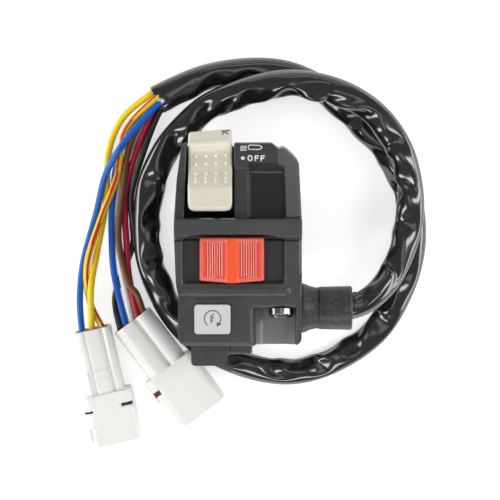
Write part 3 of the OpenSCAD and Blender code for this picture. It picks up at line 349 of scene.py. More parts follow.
def relax(line, look):  # a slack tube settles into folds round its bends
    count, sides = len(line), look["sides"]
    along, side, up = frameOf(line)
    angle = fullTurn(sides)
    base = ovalTube(line, side, up, look["half"], angle)
    window = np.hanning(look["bendWindow"])
    gap = np.linalg.norm(np.diff(line, axis=0), axis=1)
    bend = np.linalg.norm(np.gradient(along, axis=0), axis=1) / np.r_[gap, gap[-1]]
    bend = averaged(bend, window, 0, "edge")
    half = look["diameter"] / 2
    slack = np.ones(count - 1) * look["slack"]
    slack[-look["slackFade"]:] *= np.linspace(1, 0, look["slackFade"])
    restAlong = (gap * (1 + slack * 0.5 * (bend[1:] + bend[:-1]) * half))[:, None] * np.ones(sides)[None]
    restRound = 2 * np.pi * half / sides
    places = np.linspace(0, count - 1, len(look["twist"]))
    twist = np.interp(np.arange(count - 1), places, look["twist"])[:, None]
    restCross = [np.sqrt(restAlong ** 2 + restRound ** 2 + 2 * restAlong * restRound * np.sin(g))
        for g in (twist, -twist)]
    noise = np.random.default_rng(look["seed"]).normal(0, 1, (count, sides, 3))
    for axis in (0, 1):
        noise = averaged(noise, np.hanning(look["noiseWindow"]), axis, "wrap")
    fade = np.minimum(1, np.arange(count)[::-1] / look["noiseFade"])[:, None, None]
    tube = base + noise / noise.std() * look["noise"] * fade
    columns = np.arange(sides)
    for _ in range(look["rounds"]):
        for start in (0, 1):
            pairs = (count - start) // 2
            low, high = slice(start, start + 2 * pairs, 2), slice(start + 1, start + 2 * pairs, 2)
            tube[low], tube[high] = pull(tube[low], tube[high], restAlong[start::2][:pairs], 1.0)
            for turn, cross in ((1, restCross[0]), (-1, restCross[1])):
                other = (columns + turn) % sides
                first, second = pull(tube[low], tube[high][:, other], cross[start::2][:pairs], look["crossShare"])
                tube[low] = first
                tube[high] = second[:, np.argsort(other)]
            these = np.arange(start, sides, 2)
            those = (these + 1) % sides
            tube[:, these], tube[:, those] = pull(tube[:, these], tube[:, those], restRound, 1.0)
        for reach in look["spans"]:
            for start in range(reach):
                first = np.arange(start, count - reach, 2 * reach)
                rest = np.array([restAlong[first + k] for k in range(reach)]).sum(0)
                tube[first], tube[first + reach] = pull(tube[first], tube[first + reach], rest, look["stiffness"])
        tube = tube + look["roundEase"] * (np.roll(tube, 1, 1) + np.roll(tube, -1, 1) - 2 * tube)
        tube[1:-1] = tube[1:-1] + look["alongEase"] * (tube[2:] + tube[:-2] - 2 * tube[1:-1])
        off = tube - line[:, None]
        u, v, w = ((off * k[:, None]).sum(-1) for k in (side, up, along))
        far = np.sqrt((u / look["core"][0]) ** 2 + (v / look["core"][1]) ** 2) + 1e-9
        grow = np.where(far < 1.0, 1.0 / far, 1.0)
        far = np.sqrt((u * grow / look["outer"][0]) ** 2 + (v * grow / look["outer"][1]) ** 2)
        grow = grow * np.where(far > 1.0, 1.0 / far, 1.0)
        u, v = u * grow, v * grow
        w[[0, -1]] = 0.0
        tube = line[:, None] + u[..., None] * side[:, None] + v[..., None] * up[:, None] + w[..., None] * along[:, None]
    turn = np.sign((np.gradient(along, axis=0) * side).sum(-1))
    turn = averaged(turn, window, 0, "edge")
    outer = look["outerFrom"] - look["outerSlope"] * turn[:, None] * np.cos(angle)[None]
    outer = np.clip(outer, 0, 1)[..., None]  # 1 on the outside of a bend
    shift = tube - base
    return base + outer * blurred(shift, *look["outerBlur"]) + (1 - outer) * blurred(shift, *look["innerBlur"])


def buildSleeve(look):
    line = spline(look["route"], look["step"])
    for _ in range(look["lineRounds"]):
        line[1:-1] = line[1:-1] + look["lineEase"] * (line[:-2] + line[2:] - 2 * line[1:-1])
    tube = relax(line, look)
    rows, sides = tube.shape[:2]
    inner = []
    for i in range(rows - 1, rows - 1 - look["cutRows"], -1):
        centre = tube[i].mean(0)
        out = tube[i] - centre
        inner.append(centre + out * (1 - look["wall"] / np.linalg.norm(out, axis=1))[:, None])
    points = np.vstack([tube.reshape(-1, 3), np.array(inner).reshape(-1, 3)]) + (0, 0, restZ)
    made = meshOf("sleeveSkin", points, gridFaces(rows + look["cutRows"], sides), material("blackVinyl", vinyl))
    fine = made.modifiers.new("fine", "SUBSURF")
    fine.levels = fine.render_levels = 1
    fit(made, "housing", "black_vinyl", "harness_sleeve")


buildSleeve(sleeve)
print("stage: sleeve settled")

plugForm = {"height": 14.0, "barrelFrom": 1.2, "barrelTo": 13.0, "step": 2.4, "wall": 1.5, "barrelWall": 1.3,
    "seal": 6.0, "pinHeight": 8.0, "edge": 0.55, "edgeSteps": 5, "fine": 0.4, "boreRound": 1.6, "mouthRound": 1.3,
    "boreRim": 0.25, "mouthRim": 0.15, "stepDeep": 0.30, "stepWide": 0.35, "windowDeep": 0.6, "topFrom": 0.15,
    "shadeFrom": -0.9, "windowFrom": -0.35}
plugs = {
    "left": {"node": "left_connector", "inside": ("left_connector_pins", "left_connector_seal"),
        "at": (-55.3, -37.2, -77.5), "half": 7.1, "barrel": 24.5, "shroud": 19.5, "floor": 4.0,
        "barrelRound": (2.6, 2.6), "shroudRound": (2.4, 3.0), "frontRound": 1.2,
        "grooves": [(-5.4, 0.25, 0.30), (-3.0, 0.30, 0.35), (3.7, 0.75, 0.70)],
        "lobes": [(0.3, 3.4, 0.15), (5.6, 1.8, 0.35)],
        "steps": [(15.2, -2.4, 3.2), (18.2, -2.2, 3.2), (21.2, -2.0, 3.2)],
        "blocks": [(15.0, 24.5, -7.1, -4.6, 0.45), (15.2, 24.5, -2.4, 3.2, 0.35)],
        "slots": [(29.3, 30.9, 4.8, 9.2, 1.3), (29.9, 31.3, -9.3, -5.8, 1.3), (36.5, 41.2, -8.6, -7.7, 0.7)],
        "window": None},
    "right": {"node": "right_connector",
        "inside": ("right_connector_pins", "right_connector_retainer", "right_connector_seal"),
        "at": (-40.2, -34.0, -53.0), "half": 8.2, "barrel": 22.0, "shroud": 22.0, "floor": 10.0,
        "barrelRound": (4.0, 4.4), "shroudRound": (2.4, 4.6), "frontRound": 5.0,
        "grooves": [(1.7, 0.8, 1.0)], "lobes": [(-3.4, 4.9, 0.55), (5.0, 3.2, 0.45)],
        "steps": [], "blocks": [(22.4, 26.4, -10.6, -7.6, 0.3)], "slots": [],
        "window": (26.7, 28.9, -10.5, -7.0)},
}


def roundLoop(half, low, high, rounds, inset=0.0, corner=12, side=36, least=0.15):  # from the right, over the top
    half, low, high = half - inset, low + inset, high - inset
    right, left = (max(least, r - inset) for r in rounds)
    marks = [(half - right, high - right, right, 0), (-half + left, high - left, left, 90),
        (-half + left, low + left, left, 180), (half - right, low + right, right, 270)]
    points, lift = [], []
    for k, (y, z, r, start) in enumerate(marks):
        turn = np.radians(np.linspace(start, start + 90, corner))
        points += [(y + r * math.cos(t), z + r * math.sin(t)) for t in turn]
        lift += [max(0.0, math.sin(t)) for t in turn]
        y2, z2, r2, start2 = marks[(k + 1) % 4]
        end = (y2 + r2 * math.cos(math.radians(start2)), z2 + r2 * math.sin(math.radians(start2)))
        points += [tuple(p) for p in np.linspace(points[-1], end, side + 2)[1:-1]]
        lift += [1.0 if k == 0 else 0.0] * side
    return np.array(points), np.array(lift)


def buildPlug(side, look, form):
    low, high, reach = form["barrelFrom"], form["barrelTo"], look["barrel"]
    wide, end = look["half"] + form["step"], look["barrel"] + look["shroud"]
    place = np.array([look["at"][0], look["at"][1], restZ])
    turn = math.radians(look["at"][2])
    along, across = np.array([math.cos(turn), math.sin(turn), 0]), np.array([-math.sin(turn), math.cos(turn), 0])
    rings, tops = [], []

    def ring(x, loop, relief=None):
        points, lift = loop
        deep = relief(x, points[:, 0], lift) if relief else np.zeros(len(points))
        z = points[:, 1] + deep
        back = look["frontRound"] - end + x
        if back > 0:
            left = look["frontRound"] - math.sqrt(max(0.0, look["frontRound"] ** 2 - back ** 2))
            points = np.stack([np.maximum(points[:, 0], -wide + left), points[:, 1]], 1)
        rings.append(place + x * along + points[:, :1] * across + z[:, None] * np.array([0, 0, 1.0]))
        tops.append((np.full(len(z), x), deep))

    def patch(x, y, box):
        return (y > box[2]) & (y < box[3]) & (box[0] < x < box[1])

    def blockRise(x, y):
        return sum(np.where(patch(x, y, box), rise, 0) for *box, rise in look["blocks"])

    def barrelRelief(x, y, lift):
        z = np.zeros(len(y))
        for centre, width, depth in look["grooves"]:
            z -= depth * np.exp(-((y - centre) / width) ** 2)
        for centre, width, depth in look["lobes"]:
            z -= np.where(np.abs(y - centre) < width, depth * ((y - centre) / width) ** 2, 0)
        for x0, y0, y1 in look["steps"]:
            z -= np.where((y > y0) & (y < y1), form["stepDeep"] * math.exp(-((x - x0) / form["stepWide"]) ** 2), 0)
        return (z + blockRise(x, y)) * lift

    def shroudRelief(x, y, lift):
        z = blockRise(x, y) * lift
        cuts = look["slots"] + ([(*look["window"], form["windowDeep"])] if look["window"] else [])
        for *box, deep in cuts:
            z = z - np.where(patch(x, y, box) & (lift > form["topFrom"]), deep, 0)
        return z

    bore = roundLoop(look["half"] - form["barrelWall"], low + form["barrelWall"], high - form["barrelWall"],
        (form["boreRound"],) * 2)
    ring(form["seal"], bore)
    ring(form["boreRim"], bore)
    steps = form["edgeSteps"]
    for x, inset in easedStations(0.0, reach, form["edge"], steps, int(reach / form["fine"]))[:-steps]:
        ring(x, roundLoop(look["half"], low, high, look["barrelRound"], inset), barrelRelief)
    ring(reach, roundLoop(look["half"], low, high, look["barrelRound"]), barrelRelief)
    for x, inset in easedStations(reach, end, form["edge"], steps, int(look["shroud"] / form["fine"])):
        ring(x, roundLoop(wide, 0.0, form["height"], look["shroudRound"], inset), shroudRelief)
    mouth = roundLoop(wide - form["wall"], form["wall"], form["height"] - form["wall"], (form["mouthRound"],) * 2)
    ring(end - form["mouthRim"], mouth)
    ring(reach + look["floor"], mouth)
    made = ringsToMesh(side + "PlugShell", rings, material("nylon", nylon))
    made.data.materials.append(material("darkRed", darkRed))
    made.data.materials.append(material("slotShade", slotShade))
    x, deep = (np.concatenate(k) for k in zip(*tops))
    for face in made.data.polygons:
        around = list(face.vertices)
        if x[around].min() <= reach:
            continue
        if deep[around].max() < form["shadeFrom"]:
            face.material_index = 2
        elif look["window"] and deep[around].max() < form["windowFrom"]:
            face.material_index = 1
    return fit(made, "housing", "white_nylon", look["node"])


plugShells = {side: buildPlug(side, look, plugForm) for side, look in plugs.items()}
print("stage: connectors shaped")

wireForm = {"diameter": 2.2, "skin": 2.5,  # skin is the thickness as drawn, nearer to the photo
    "sides": 20, "step": 0.8, "into": 2.0, "back": 5.0, "gather": (0.8, 0.9),
    "stripeFrom": 7.0, "stripeTurn": 5.0, "stripeHalf": 1.2,
    "finish": {"vary": 0.06, "roughness": 0.32, "grain": 1500, "bump": 0.03}}
wires = {
    "wire_blue_long": {"color": (0.002, 0.115, 0.54), "slot": "blue_wire", "leaves": (1.3, 7.4), "plug": "left",
        "pin": -3.8, "route": [(-38, 39, 7.8), (-45, 30, 7.4), (-50.3, 20, 4), (-53.8, 6, 1.6), (-58.7, -12, 1.3),
            (-60, -26, 4)]},
    "wire_yellow": {"color": (0.93, 0.67, 0.010), "slot": "yellow_wire", "leaves": (-3.9, 5), "plug": "left",
        "pin": 0.0, "route": [(-43.5, 42, 2.2), (-49, 29, 1.3), (-50.2, 10, 1.3), (-53.4, -8, 1.6),
            (-55.6, -22, 7.2)]},
    "wire_yellow_red": {"color": (0.91, 0.60, 0.010), "slot": "yellow_red_wire", "leaves": (-1.3, 7.4),
        "plug": "left", "pin": 3.8, "stripe": (0.62, 0.012, 0.02),
        "route": [(-42.5, 37, 5), (-45.8, 20, 4), (-52, 4, 4.2), (-57.2, -13, 4), (-56.4, -27, 3)]},
    "wire_brown": {"color": (0.17, 0.062, 0.022), "slot": "brown_wire", "leaves": (-1.3, 5), "plug": "right",
        "pin": 5.4, "route": [(-40.5, 33, 4), (-43.5, 16, 4), (-45.3, -3, 4.2), (-41.8, -19, 7.2),
            (-38.3, -24, 8.8)]},
    "wire_black": {"color": (0.012, 0.012, 0.013), "slot": "black_wire", "leaves": (3.6, 6.3), "plug": "right",
        "pin": -5.4, "route": [(-34.6, 32.5, 6), (-40.3, 14, 3.2), (-40.1, 2, 1.3), (-40, -6, 1.3),
            (-44.5, -18, 1.3), (-46.8, -27, 1.8)]},
    "wire_crimson": {"color": (0.47, 0.008, 0.04), "slot": "crimson_wire", "leaves": (1.3, 5), "plug": "right",
        "pin": 2.7, "route": [(-38.6, 29, 3), (-42.8, 12, 1.3), (-42.3, -5, 3.6), (-41.3, -18, 4.6)]},
    "wire_blue_short": {"color": (0.002, 0.115, 0.54), "slot": "blue_wire", "leaves": (-1.3, 2.6), "plug": "right",
        "pin": -2.7, "route": [(-44, 31, 1.3), (-47.5, 12, 1.3), (-48, -4, 1.3), (-46.8, -18, 3.8)]},
    "wire_white": {"color": (0.80, 0.80, 0.79), "slot": "white_wire", "leaves": (1.3, 2.6), "plug": "right",
        "pin": 0.0, "route": [(-41, 30, 1.3), (-45.1, 12, 1.3), (-45.5, -4, 1.3), (-44.3, -16, 4)]},
}


def buildWire(name, look, form):
    before, end = np.array(sleeve["route"][-2:], float)
    heading = (end - before) / np.linalg.norm(end - before)
    across = np.cross((0, 0, 1), heading)
    offset, height = look["leaves"]
    start = np.array([end[0] + offset * across[0], end[1] + offset * across[1], height])
    place = plugs[look["plug"]]
    x, y, turn = place["at"]
    turn = math.radians(turn)
    mouth = np.array([x - look["pin"] * math.sin(turn), y + look["pin"] * math.cos(turn), plugForm["pinHeight"]])
    inside = mouth + np.array([math.cos(turn), math.sin(turn), 0]) * form["into"]
    near, far = (end + (start - end) * k for k in form["gather"])
    line = spline([near - heading * form["back"], far, *look["route"], mouth, inside], form["step"])
    _, side, up = frameOf(line)
    sides = form["sides"]
    tube = ovalTube(line, side, up, (form["skin"] / 2,) * 2, fullTurn(sides))
    tube[..., 2] = np.maximum(tube[..., 2], 0.0)  # rests on the surface
    points, finish = tube.reshape(-1, 3) + (0, 0, restZ), {**form["finish"], "color": look["color"]}
    made = meshOf(name + "_skin", points, gridFaces(len(line), sides), material(name, finish))
    if "stripe" in look:
        made.data.materials.append(material(name + "Stripe", {**finish, "color": look["stripe"]}))
        for face in made.data.polygons:  # the stripe winds slowly round
            middle = form["stripeFrom"] - form["stripeTurn"] * (face.index // sides) / len(line)
            face.material_index = int(abs(face.index % sides - middle) < form["stripeHalf"])
    fit(made, "housing", look["slot"], name)


for name, look in wires.items():
    buildWire(name, look, wireForm)
print("stage: wires laid")

rounding = {"merge": 2e-6, "flat": 0.6, "sharp": 13.0, "upright": 0.9, "longEdge": 4.0, "share": 0.42, "segments": 4}
zones = {
    # the brow band takes the greyer black as painted light for its lit face
    "brow": {"look": material("greyBlackAndBrowLight", greyBlackAndBrowLight), "box": ((-23.5, 1.0, 28.0), (23.5, 7.8, 30.2))},
    # the recess faces take the smooth black, darkened as painted shade
    "recess": {"look": material("smoothBlackPaintedShade", smoothBlackPaintedShade), "box": ((3.9, 7.5, 21.8), (17.0, 24.0, 22.7))},
    # trough floors take the darker black of painted shade
    "trough": {"look": material("troughPaintedShade", troughPaintedShade), "box": ((-19.7, -16.0, 23.4), (16.5, 2.0, 23.9))},
    # the scoop's faces take the lighter grey of painted highlight
    "scoop": {"look": material("scoopPaintedHighlight", scoopPaintedHighlight), "box": ((6.0, -39.0, 8.0), (20.9, -24.6, 19.8))},
}
corners = {"width": 3.0, "plain": 1.1,  # edges in boxes take the full width, those in wide their own
    "boxes": [((-24, -40, -30), (-19, -36, 30)), ((19, -40, -30), (24, -36, 30))],
    "wide": [((5.8, -38.0, 25.0), (6.2, -24.9, 25.8), 2.7), ((6.2, -25.2, 25.0), (20.8, -24.6, 25.8), 1.6),
        ((-19.8, -16.5, 26.6), (-19.4, 0.5, 27.0), 1.4), ((16.2, -16.5, 26.6), (16.6, 0.5, 27.0), 1.8),
        ((22.8, -16.5, 26.6), (23.2, 0.5, 27.0), 1.8)]}


def within(point, low, high):
    return all(a <= c <= b for c, a, b in zip(point, low, high))


def edgeWidth(edge, width, soft):  # share of the bevel's width that an edge takes
    if not edge.is_manifold or edge.calc_face_angle(0.0) < math.radians(rounding["sharp"]):
        return 0.0
    room = min(other.calc_length() for v in edge.verts for other in v.link_edges if other != edge)
    most = 1.0
    if soft:
        first, second = (v.co for v in edge.verts)
        middle = (first + second) / 2 / mm
        deep = abs((first - second).normalized().z) > rounding["upright"]
        inside = any(within(middle, *box) for box in soft["boxes"])
        most = 1.0 if deep and inside else soft["plain"] / width
        for low, high, wide in soft["wide"]:
            if edge.calc_length() > rounding["longEdge"] * mm and within(middle, low, high):
                most, room = wide / width, 1.0
    return min(most, rounding["share"] * room / (width * mm))


def skin(node, name, look, slot, width, body="housing", zones=(), soft=None):  # rounded copy of a CAD piece
    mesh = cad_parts[node].data.copy()
    mesh.materials.clear()
    for each in (look, *(zone["look"] for zone in zones)):
        mesh.materials.append(each)
    work = bmesh.new()
    work.from_mesh(mesh)
    bmesh.ops.remove_doubles(work, verts=work.verts, dist=rounding["merge"])
    bmesh.ops.dissolve_limit(work, angle_limit=math.radians(rounding["flat"]), verts=work.verts, edges=work.edges)
    weight = work.edges.layers.float.new("bevel_weight_edge")
    for face in work.faces:
        face.smooth = True
        face.material_index = 0
        middle = face.calc_center_median() / mm
        for k, zone in enumerate(zones):
            if within(middle, *zone["box"]):
                face.material_index = k + 1
    for edge in work.edges:
        edge[weight] = edgeWidth(edge, width, soft)
    work.to_mesh(mesh)
    work.free()
    made = link(name, mesh)
    bevel = made.modifiers.new("edges", "BEVEL")
    bevel.width, bevel.segments, bevel.limit_method = width * mm, rounding["segments"], "WEIGHT"
    bevel.use_clamp_overlap, bevel.loop_slide = False, False
    bevel.miter_outer = "MITER_ARC"
    shade = made.modifiers.new("faces", "WEIGHTED_NORMAL")
    shade.keep_sharp, shade.weight = True, 100
    return fit(made, body, slot, node)


skin("upper_housing", "upperShell", material("blackPlastic", blackPlastic), "black_plastic", width=0.9,
    zones=(zones["recess"], zones["trough"], zones["brow"]))
skin("lower_housing", "lowerShell", material("greyBlackAndBrowLight", greyBlackAndBrowLight), "black_plastic", width=corners["width"],
    zones=(zones["trough"], zones["scoop"]), soft=corners)
skin("start_button", "buttonSkin", material("greyPlastic", greyPlastic), "grey_plastic", width=0.4, body="start")
skin("front_clamp_screw", "screwSkin", material("plated", plated), "plated_steel", width=0.2)
print("stage: housings rounded")

lever = {
    "profile": [(10.2, 17.6), (10.2, 28.8), (11.4, 30.4), (18.5, 31.8), (19.2, 31.6), (19.8, 30.9), (23.4, 26.2),
        (25.2, 25.4), (30.8, 24.0), (34.6, 26.2), (35.4, 26.2), (36.2, 25.6), (39.2, 20.4), (38.0, 19.0)],
    "under": [(25.0, 8.4), (17.0, 8.4)], "span": (-17.9, -2.1), "edge": 1.0, "edgeSteps": 7, "stations": 10, "ease": 1.8,
    "lean": 0.075, "leanFrom": 12.0, "leanLength": 27.0, "corner": 2.2, "cornerFrom": 14.5, "cornerLength": 4.3,
    "dotRows": (29.95, 27.1, 23.6, 22.0, 20.9), "dotColumns": (-15.1, -11.5, -7.9, -4.3), "dotRadius": 0.58,
    "dotFlat": 0.85, "dotFace": (19.6, 36.0), "endFrom": 33.0,
    "mark": [[(-6.0, 0.85), (-3.1, 0.85)], [(-5.4, 0.2), (-5.4, 0.85)], [(-5.4, 0.85), (-3.5, 0.25)],
        [(-4.6, 0.5), (-3.6, 0.85)]],
    "markFrom": 36.75, "markTall": 2.0, "markWidth": 0.28, "markRise": 0.12, "markFacing": (0, 0.87, 0.5),
}


def buildLever(look):
    path = rounded(look["profile"], look["ease"])
    middle, half = sum(look["span"]) / 2, (look["span"][1] - look["span"][0]) / 2

    def leanOf(x, y):
        return look["lean"] * np.clip((y - look["leanFrom"]) / look["leanLength"], 0, 1) * (x - middle)

    def leaned(x, outline):
        y, z = outline.T
        near = min(look["corner"], max(0.0, look["corner"] - half + abs(x - middle)))
        cut = look["corner"] - math.sqrt(look["corner"] ** 2 - near ** 2)
        rise = leanOf(x, y) + cut * np.clip((look["cornerFrom"] - y) / look["cornerLength"], 0, 1)
        return np.stack([np.full(len(y), x), y + rise, z], 1)

    rings = [leaned(x, np.vstack([inward(path, inset), look["under"]]))
        for x, inset in easedStations(*look["span"], look["edge"], look["edgeSteps"], look["stations"])]
    made = ringsToMesh("leverSkin", rings, material("ivoryPlastic", ivoryPlastic))
    made.data.materials.append(material("ivoryDotsPaintedHighlight", ivoryDotsPaintedHighlight))
    work = bmesh.new()
    work.from_mesh(made.data)
    top = path[(path[:, 0] > look["dotFace"][0]) & (path[:, 0] < look["dotFace"][1])]
    slope = np.gradient(top[:, 1], top[:, 0])
    for y in look["dotRows"]:
        z, tilt = np.interp(y, *top.T), np.interp(y, top[:, 0], slope)
        turn = Vector((0, 0, 1)).rotation_difference(Vector((0, -tilt, 1)).normalized()).to_matrix().to_4x4()
        for x in look["dotColumns"]:
            at = Vector((x, y + leanOf(x, y), z)) * mm
            dome = Matrix.Translation(at) @ turn @ Matrix.Diagonal((1, 1, look["dotFlat"], 1))
            dot = bmesh.ops.create_icosphere(work, subdivisions=3, radius=look["dotRadius"] * mm, matrix=dome)
            for v in dot["verts"]:
                for face in v.link_faces:
                    # dot faces take the near-white of painted highlight
                    face.smooth, face.material_index = True, 1
    work.to_mesh(made.data)
    work.free()
    fit(made, "light", "ivory_plastic", "light_lever")
    end = path[:int(np.argmax(path[:, 0])) + 1]
    end = end[end[:, 0] > look["endFrom"]]
    rows = [[(x, look["markFrom"] + look["markTall"] * t) for x, t in stroke] for stroke in look["mark"]]
    mark = [[(x, y + leanOf(x, y), np.interp(y, *end.T)) for x, y in row] for row in rows]
    made = bead("leverMark", mark, look["markWidth"], look["markRise"], material("printGrey", printGrey),
        look["markFacing"])
    fit(made, "light", "ivory_plastic")


slide = {"centre": -2.2, "half": 11.6, "y": (-14.9, 0.7), "base": 24.0, "edge": 0.8, "edgeSteps": 6, "stations": 22,
    "step": 0.07, "bulge": 0.7,
    "ribs": 7, "ribRise": 0.22, "ribFrom": 3.3, "ribTo": 9.3, "ribFade": 0.9, "ribEnd": 1.5, "crest": (0.16, 0.34),
    "ridgeHalf": 1.9, "ridgeFrom": 29.6, "rimEdge": 1.3, "rimFrom": 10.3, "least": 0.2,
    "profile": [(0, 30.15), (1.75, 30.15), (2.15, 29.7), (2.5, 29.15), (3.1, 29.1), (9.2, 27.9), (10.7, 27.55),
        (11.4, 27.2), (11.6, 26.6)]}


def buildSlide(look):
    front, back = look["y"]

    def ribPhase(far):  # whole numbers lie between two ribs
        return (far - look["ribFrom"]) / (look["ribTo"] - look["ribFrom"]) * look["ribs"]

    x = np.r_[np.arange(-look["half"], look["half"], look["step"]), look["half"]]
    far = np.abs(x)
    height = np.interp(far, *np.array(look["profile"]).T)
    inside = (far > look["ribFrom"]) & (far < look["ribTo"])
    rib = np.where(inside, look["ribRise"] * np.sin(ribPhase(far) * 2 * math.pi), 0.0)
    rings = []
    for y, inset in easedStations(front, back, look["edge"], look["edgeSteps"], look["stations"]):
        fade = np.clip(min(y - front, back - y) / look["ribFade"] - 1.0, 0, 1)
        z = np.maximum(height + rib * fade - inset, look["base"] + look["least"])
        narrow = np.clip(x, -look["half"] + inset, look["half"] - inset) + look["centre"]
        shift = -look["bulge"] * (y - back) / (front - back) * (1 - far / look["half"])
        top = np.stack([narrow, y + shift, z], 1)
        rings.append(np.vstack([top, [(narrow[-1], y, look["base"]), (narrow[0], y, look["base"])]]))
    made = ringsToMesh("slideSkin", rings, material("redPlastic", redPlastic))
    for name, finish in (("orangePlastic", orangePlastic), ("redCrestHighlight", redCrestHighlight), ("redRimHighlight", redRimHighlight)):
        made.data.materials.append(material(name, finish))
    for face in made.data.polygons:
        x, y, z = np.array(face.center) / mm
        far, edge = abs(x - look["centre"]), min(y - front, back - y)
        crest = look["crest"][0] < ribPhase(far) % 1.0 < look["crest"][1]
        if far < look["ridgeHalf"] and z > look["ridgeFrom"]:
            face.material_index = 1
        # rib crests take the pinkish white of painted highlight
        elif look["ribFrom"] < far < look["ribTo"] and edge > look["ribEnd"] and crest:
            face.material_index = 2
        # the rim and outer flanks take the lighter red of painted highlight
        elif edge < look["rimEdge"] or far > look["rimFrom"]:
            face.material_index = 3
    fit(made, "stop", "red_plastic", "stop_slide")


boot = {"axis": (-27.5, 1.75), "steps": 72,
    "profile": [(23.1, 5.6), (23.1, 8.9), (23.3, 9.15), (23.8, 9.2), (24.6, 9.0), (26.4, 8.15), (28.4, 7.66),
        (29.6, 7.6), (29.75, 7.66), (29.85, 7.86), (30.1, 7.9), (34.0, 7.95), (39.0, 8.05), (41.2, 8.15), (41.8, 8.0),
        (42.0, 7.6), (42.0, 5.75), (41.8, 5.45), (41.3, 5.4), (30.0, 5.4)]}


def buildBoot(look):
    angle, (y, z) = fullTurn(look["steps"]), look["axis"]
    rings = [np.stack([np.full(look["steps"], x), y + r * np.cos(angle), z + r * np.sin(angle)], 1)
        for x, r in look["profile"]]
    made = meshOf("bootSkin", np.vstack(rings), gridFaces(len(rings), look["steps"]), material("rubber", rubber))
    fit(made, "housing", "boot_rubber", "cable_boot")


def arc(x, y, rx, ry, start, end, count=28):
    turns = np.radians(np.linspace(start, end, count))
    return [(x + rx * math.cos(t), y + ry * math.sin(t)) for t in turns]


pad = {"front": 26.97, "drop": 1.2, "from": 7.6, "length": 26.4, "rise": 0.05}  # slanting face beside the lever
padMarks = {  # thickness of the strokes, then the strokes
    "offMark": (0.23, [arc(4.35, 29.2, 0.72, 0.86, 0, 360), [(6.2, 28.25), (6.2, 30.0), (7.4, 30.0)],
        [(6.2, 29.2), (7.2, 29.2)], [(8.3, 28.25), (8.3, 30.0), (9.5, 30.0)], [(8.3, 29.2), (9.3, 29.2)]]),
    "dotMark": (0.36, [arc(1.75, 29.2, 0.38, 0.22, 0, 360), [(1.35, 29.2), (2.15, 29.2)]]),
    "lampMark": (0.17, [[(4.3, 33.85), (6.9, 33.8), *arc(6.9, 33.05, 1.65, 0.75, 90, -90), (4.3, 32.3),
        *arc(4.3, 33.08, 0.55, 0.78, -90, -270)]]),
    "beamMark": (0.13, [[(1.0, 33.45), (3.2, 33.5)], [(0.9, 32.95), (3.0, 33.0)], [(0.8, 32.45), (3.0, 32.5)],
        [(0.9, 31.98), (3.1, 32.02)]]),
}
browMarks = {"centres": (-11.3, -3.6), "y": 7.62, "z": 28.7, "half": (2.5, 0.75), "width": 0.22, "rise": 0.04}
startSign = {"centre": (-9.15, -28.6), "front": 27.17, "radius": 2.95, "turn": (232, -42), "width": 0.19, "rise": 0.05,
    "bolt": [(0.45, 1.7), (-0.85, 0.55), (0.35, 0.45), (-0.85, -0.55), (0.05, -0.7), (-0.6, -1.5)],
    "head": [(0.75, 0.05), (-0.55, -0.75), (-0.5, 0.55), (0.75, 0.05)], "barb": [(0.75, 0.05), (-0.5, -0.1)]}


def buildMarks():
    white = material("printWhite", printWhite)
    for name, (width, strokes) in padMarks.items():
        lines = [[(x, y, pad["front"] - pad["drop"] * (y - pad["from"]) / pad["length"]) for x, y in stroke]
            for stroke in strokes]
        fit(bead(name, lines, width, pad["rise"], white), "housing", "black_plastic")
    look = browMarks
    rings = [[(u, look["y"], v) for u, v in arc(x, look["z"], *look["half"], 0, 360, 40)] for x in look["centres"]]
    fit(bead("browMarks", rings, look["width"], look["rise"], white, (0, 1, 0)), "housing", "black_plastic")
    look = startSign
    ring = arc(*look["centre"], look["radius"], look["radius"], *look["turn"], 60)
    strokes = [((0, 0), ring), (look["centre"], look["bolt"]), (ring[-1], look["head"]), (ring[-1], look["barb"])]
    lines = [[(x + u, y + v, look["front"]) for u, v in stroke] for (x, y), stroke in strokes]
    made = bead("startMark", lines, look["width"], look["rise"], material("printGrey", printGrey))
    fit(made, "start", "grey_plastic")


buildLever(lever)
buildSlide(slide)
buildBoot(boot)
buildMarks()
print("stage: controls dressed")

inner = {
    "darkSteel": (darkSteel, ["light_shaft"]),
    "plated": (plated, ["rear_clamp_screw", "light_plate_screws", "start_base_screws"]),
    "brass": (brass, ["front_insert", "rear_insert", "light_terminals", "stop_terminals", "start_terminals",
        "left_connector_pins", "right_connector_pins"]),
    "copper": (copper, ["light_bridge", "stop_bridge", "start_bridge"]),
    "springSteel": (springSteel, ["light_detent_spring", "stop_detent_spring", "start_spring"]),
    "phenolic": (phenolic, ["light_contact_plate", "stop_contact_base", "start_contact_base"]),
    "naturalPlastic": (naturalPlastic, ["light_rotor", "stop_carrier"]),
    "sealRubber": (sealRubber, ["left_connector_seal", "right_connector_seal"]),
    "darkRed": (darkRed, ["right_connector_retainer"]),
}
for name, (look, nodes) in inner.items():
    for node in nodes:
        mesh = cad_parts[node].data
        mesh.materials.clear()
        mesh.materials.append(material(name, look))
print("stage: pieces dressed")

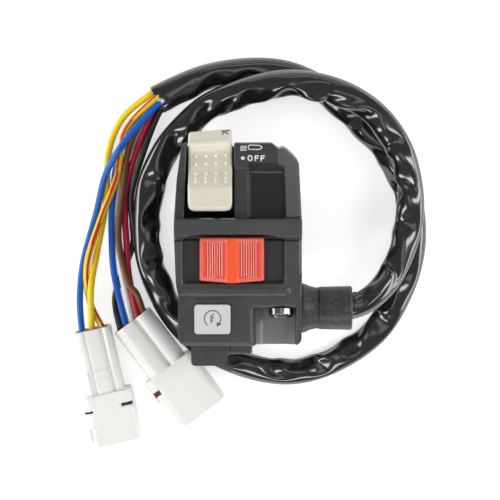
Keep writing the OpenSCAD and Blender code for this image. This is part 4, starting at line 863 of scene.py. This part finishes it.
surround = {"fill": 0.34, "glossy": 0.22, "lift": 0.58, "floorHalf": 2000, "floorGap": 0.03,
    "paper": {"color": (0.88, 0.88, 0.88), "vary": 0.0, "roughness": 0.9, "grain": 400, "bump": 0.0}}
lights = [
    {"name": "keyLight", "at": (-0.40, -0.30, 0.55), "size": (0.17, 0.30), "radiance": 6.2},
    {"name": "sideLight", "at": (0.50, 0.10, 0.50), "size": (0.15, 0.42), "radiance": 5.4},
    {"name": "frontLight", "at": (0.05, -0.55, 0.42), "size": (0.45, 0.10), "radiance": 6.4},
    {"name": "backLight", "at": (0.00, 0.60, 0.45), "size": (0.46, 0.09), "radiance": 1.3},
    {"name": "topLight", "at": (0.05, 0.05, 1.30), "size": (0.60, 0.60), "radiance": 0.7},
    {"name": "leftStrip", "at": (-0.62, 0.00, 0.15), "size": (0.70, 0.20), "radiance": 5.5},
    {"name": "farStrip", "at": (0.00, 0.62, 0.15), "size": (0.70, 0.20), "radiance": 0.7},
    {"name": "rightStrip", "at": (0.62, 0.00, 0.15), "size": (0.70, 0.20), "radiance": 4.0},
]
paper = finishOf("floorPaper", surround["paper"])
tree = paper.node_tree
rays = tree.nodes.new("ShaderNodeLightPath")
seen = sum((Sock(tree, rays.outputs[k]) for k in ("Is Camera Ray", "Is Glossy Ray", "Is Transmission Ray")), 0.0)
paperShader = tree.nodes["Principled BSDF"]
tree.links.new((seen * surround["lift"]).out, paperShader.inputs["Emission Color"])
paperShader.inputs["Emission Strength"].default_value = 1.0
reach = surround["floorHalf"]
floor = meshOf("floor", [(x * reach, y * reach, restZ - surround["floorGap"])
    for x, y in ((-1, -1), (1, -1), (1, 1), (-1, 1))], [(0, 1, 2, 3)], paper, False)
world = bpy.data.worlds.new("tent")
bpy.context.scene.world = world
world.use_nodes = True
glossy = Sock(world.node_tree, world.node_tree.nodes.new("ShaderNodeLightPath").outputs["Is Glossy Ray"])
power = surround["fill"] + glossy * (surround["glossy"] - surround["fill"])
world.node_tree.links.new(power.out, world.node_tree.nodes["Background"].inputs["Color"])
for look in lights:
    lamp = bpy.data.lights.new(look["name"], "AREA")
    lamp.shape = "RECTANGLE"
    lamp.size, lamp.size_y = look["size"]
    lamp.energy = look["radiance"] * math.pi * look["size"][0] * look["size"][1]
    made = link(look["name"], lamp)
    made.location = look["at"]
    made.visible_camera = False
    made.rotation_euler = (-Vector(look["at"])).to_track_quat("-Z", "Y").to_euler()
print("stage: surround lit")
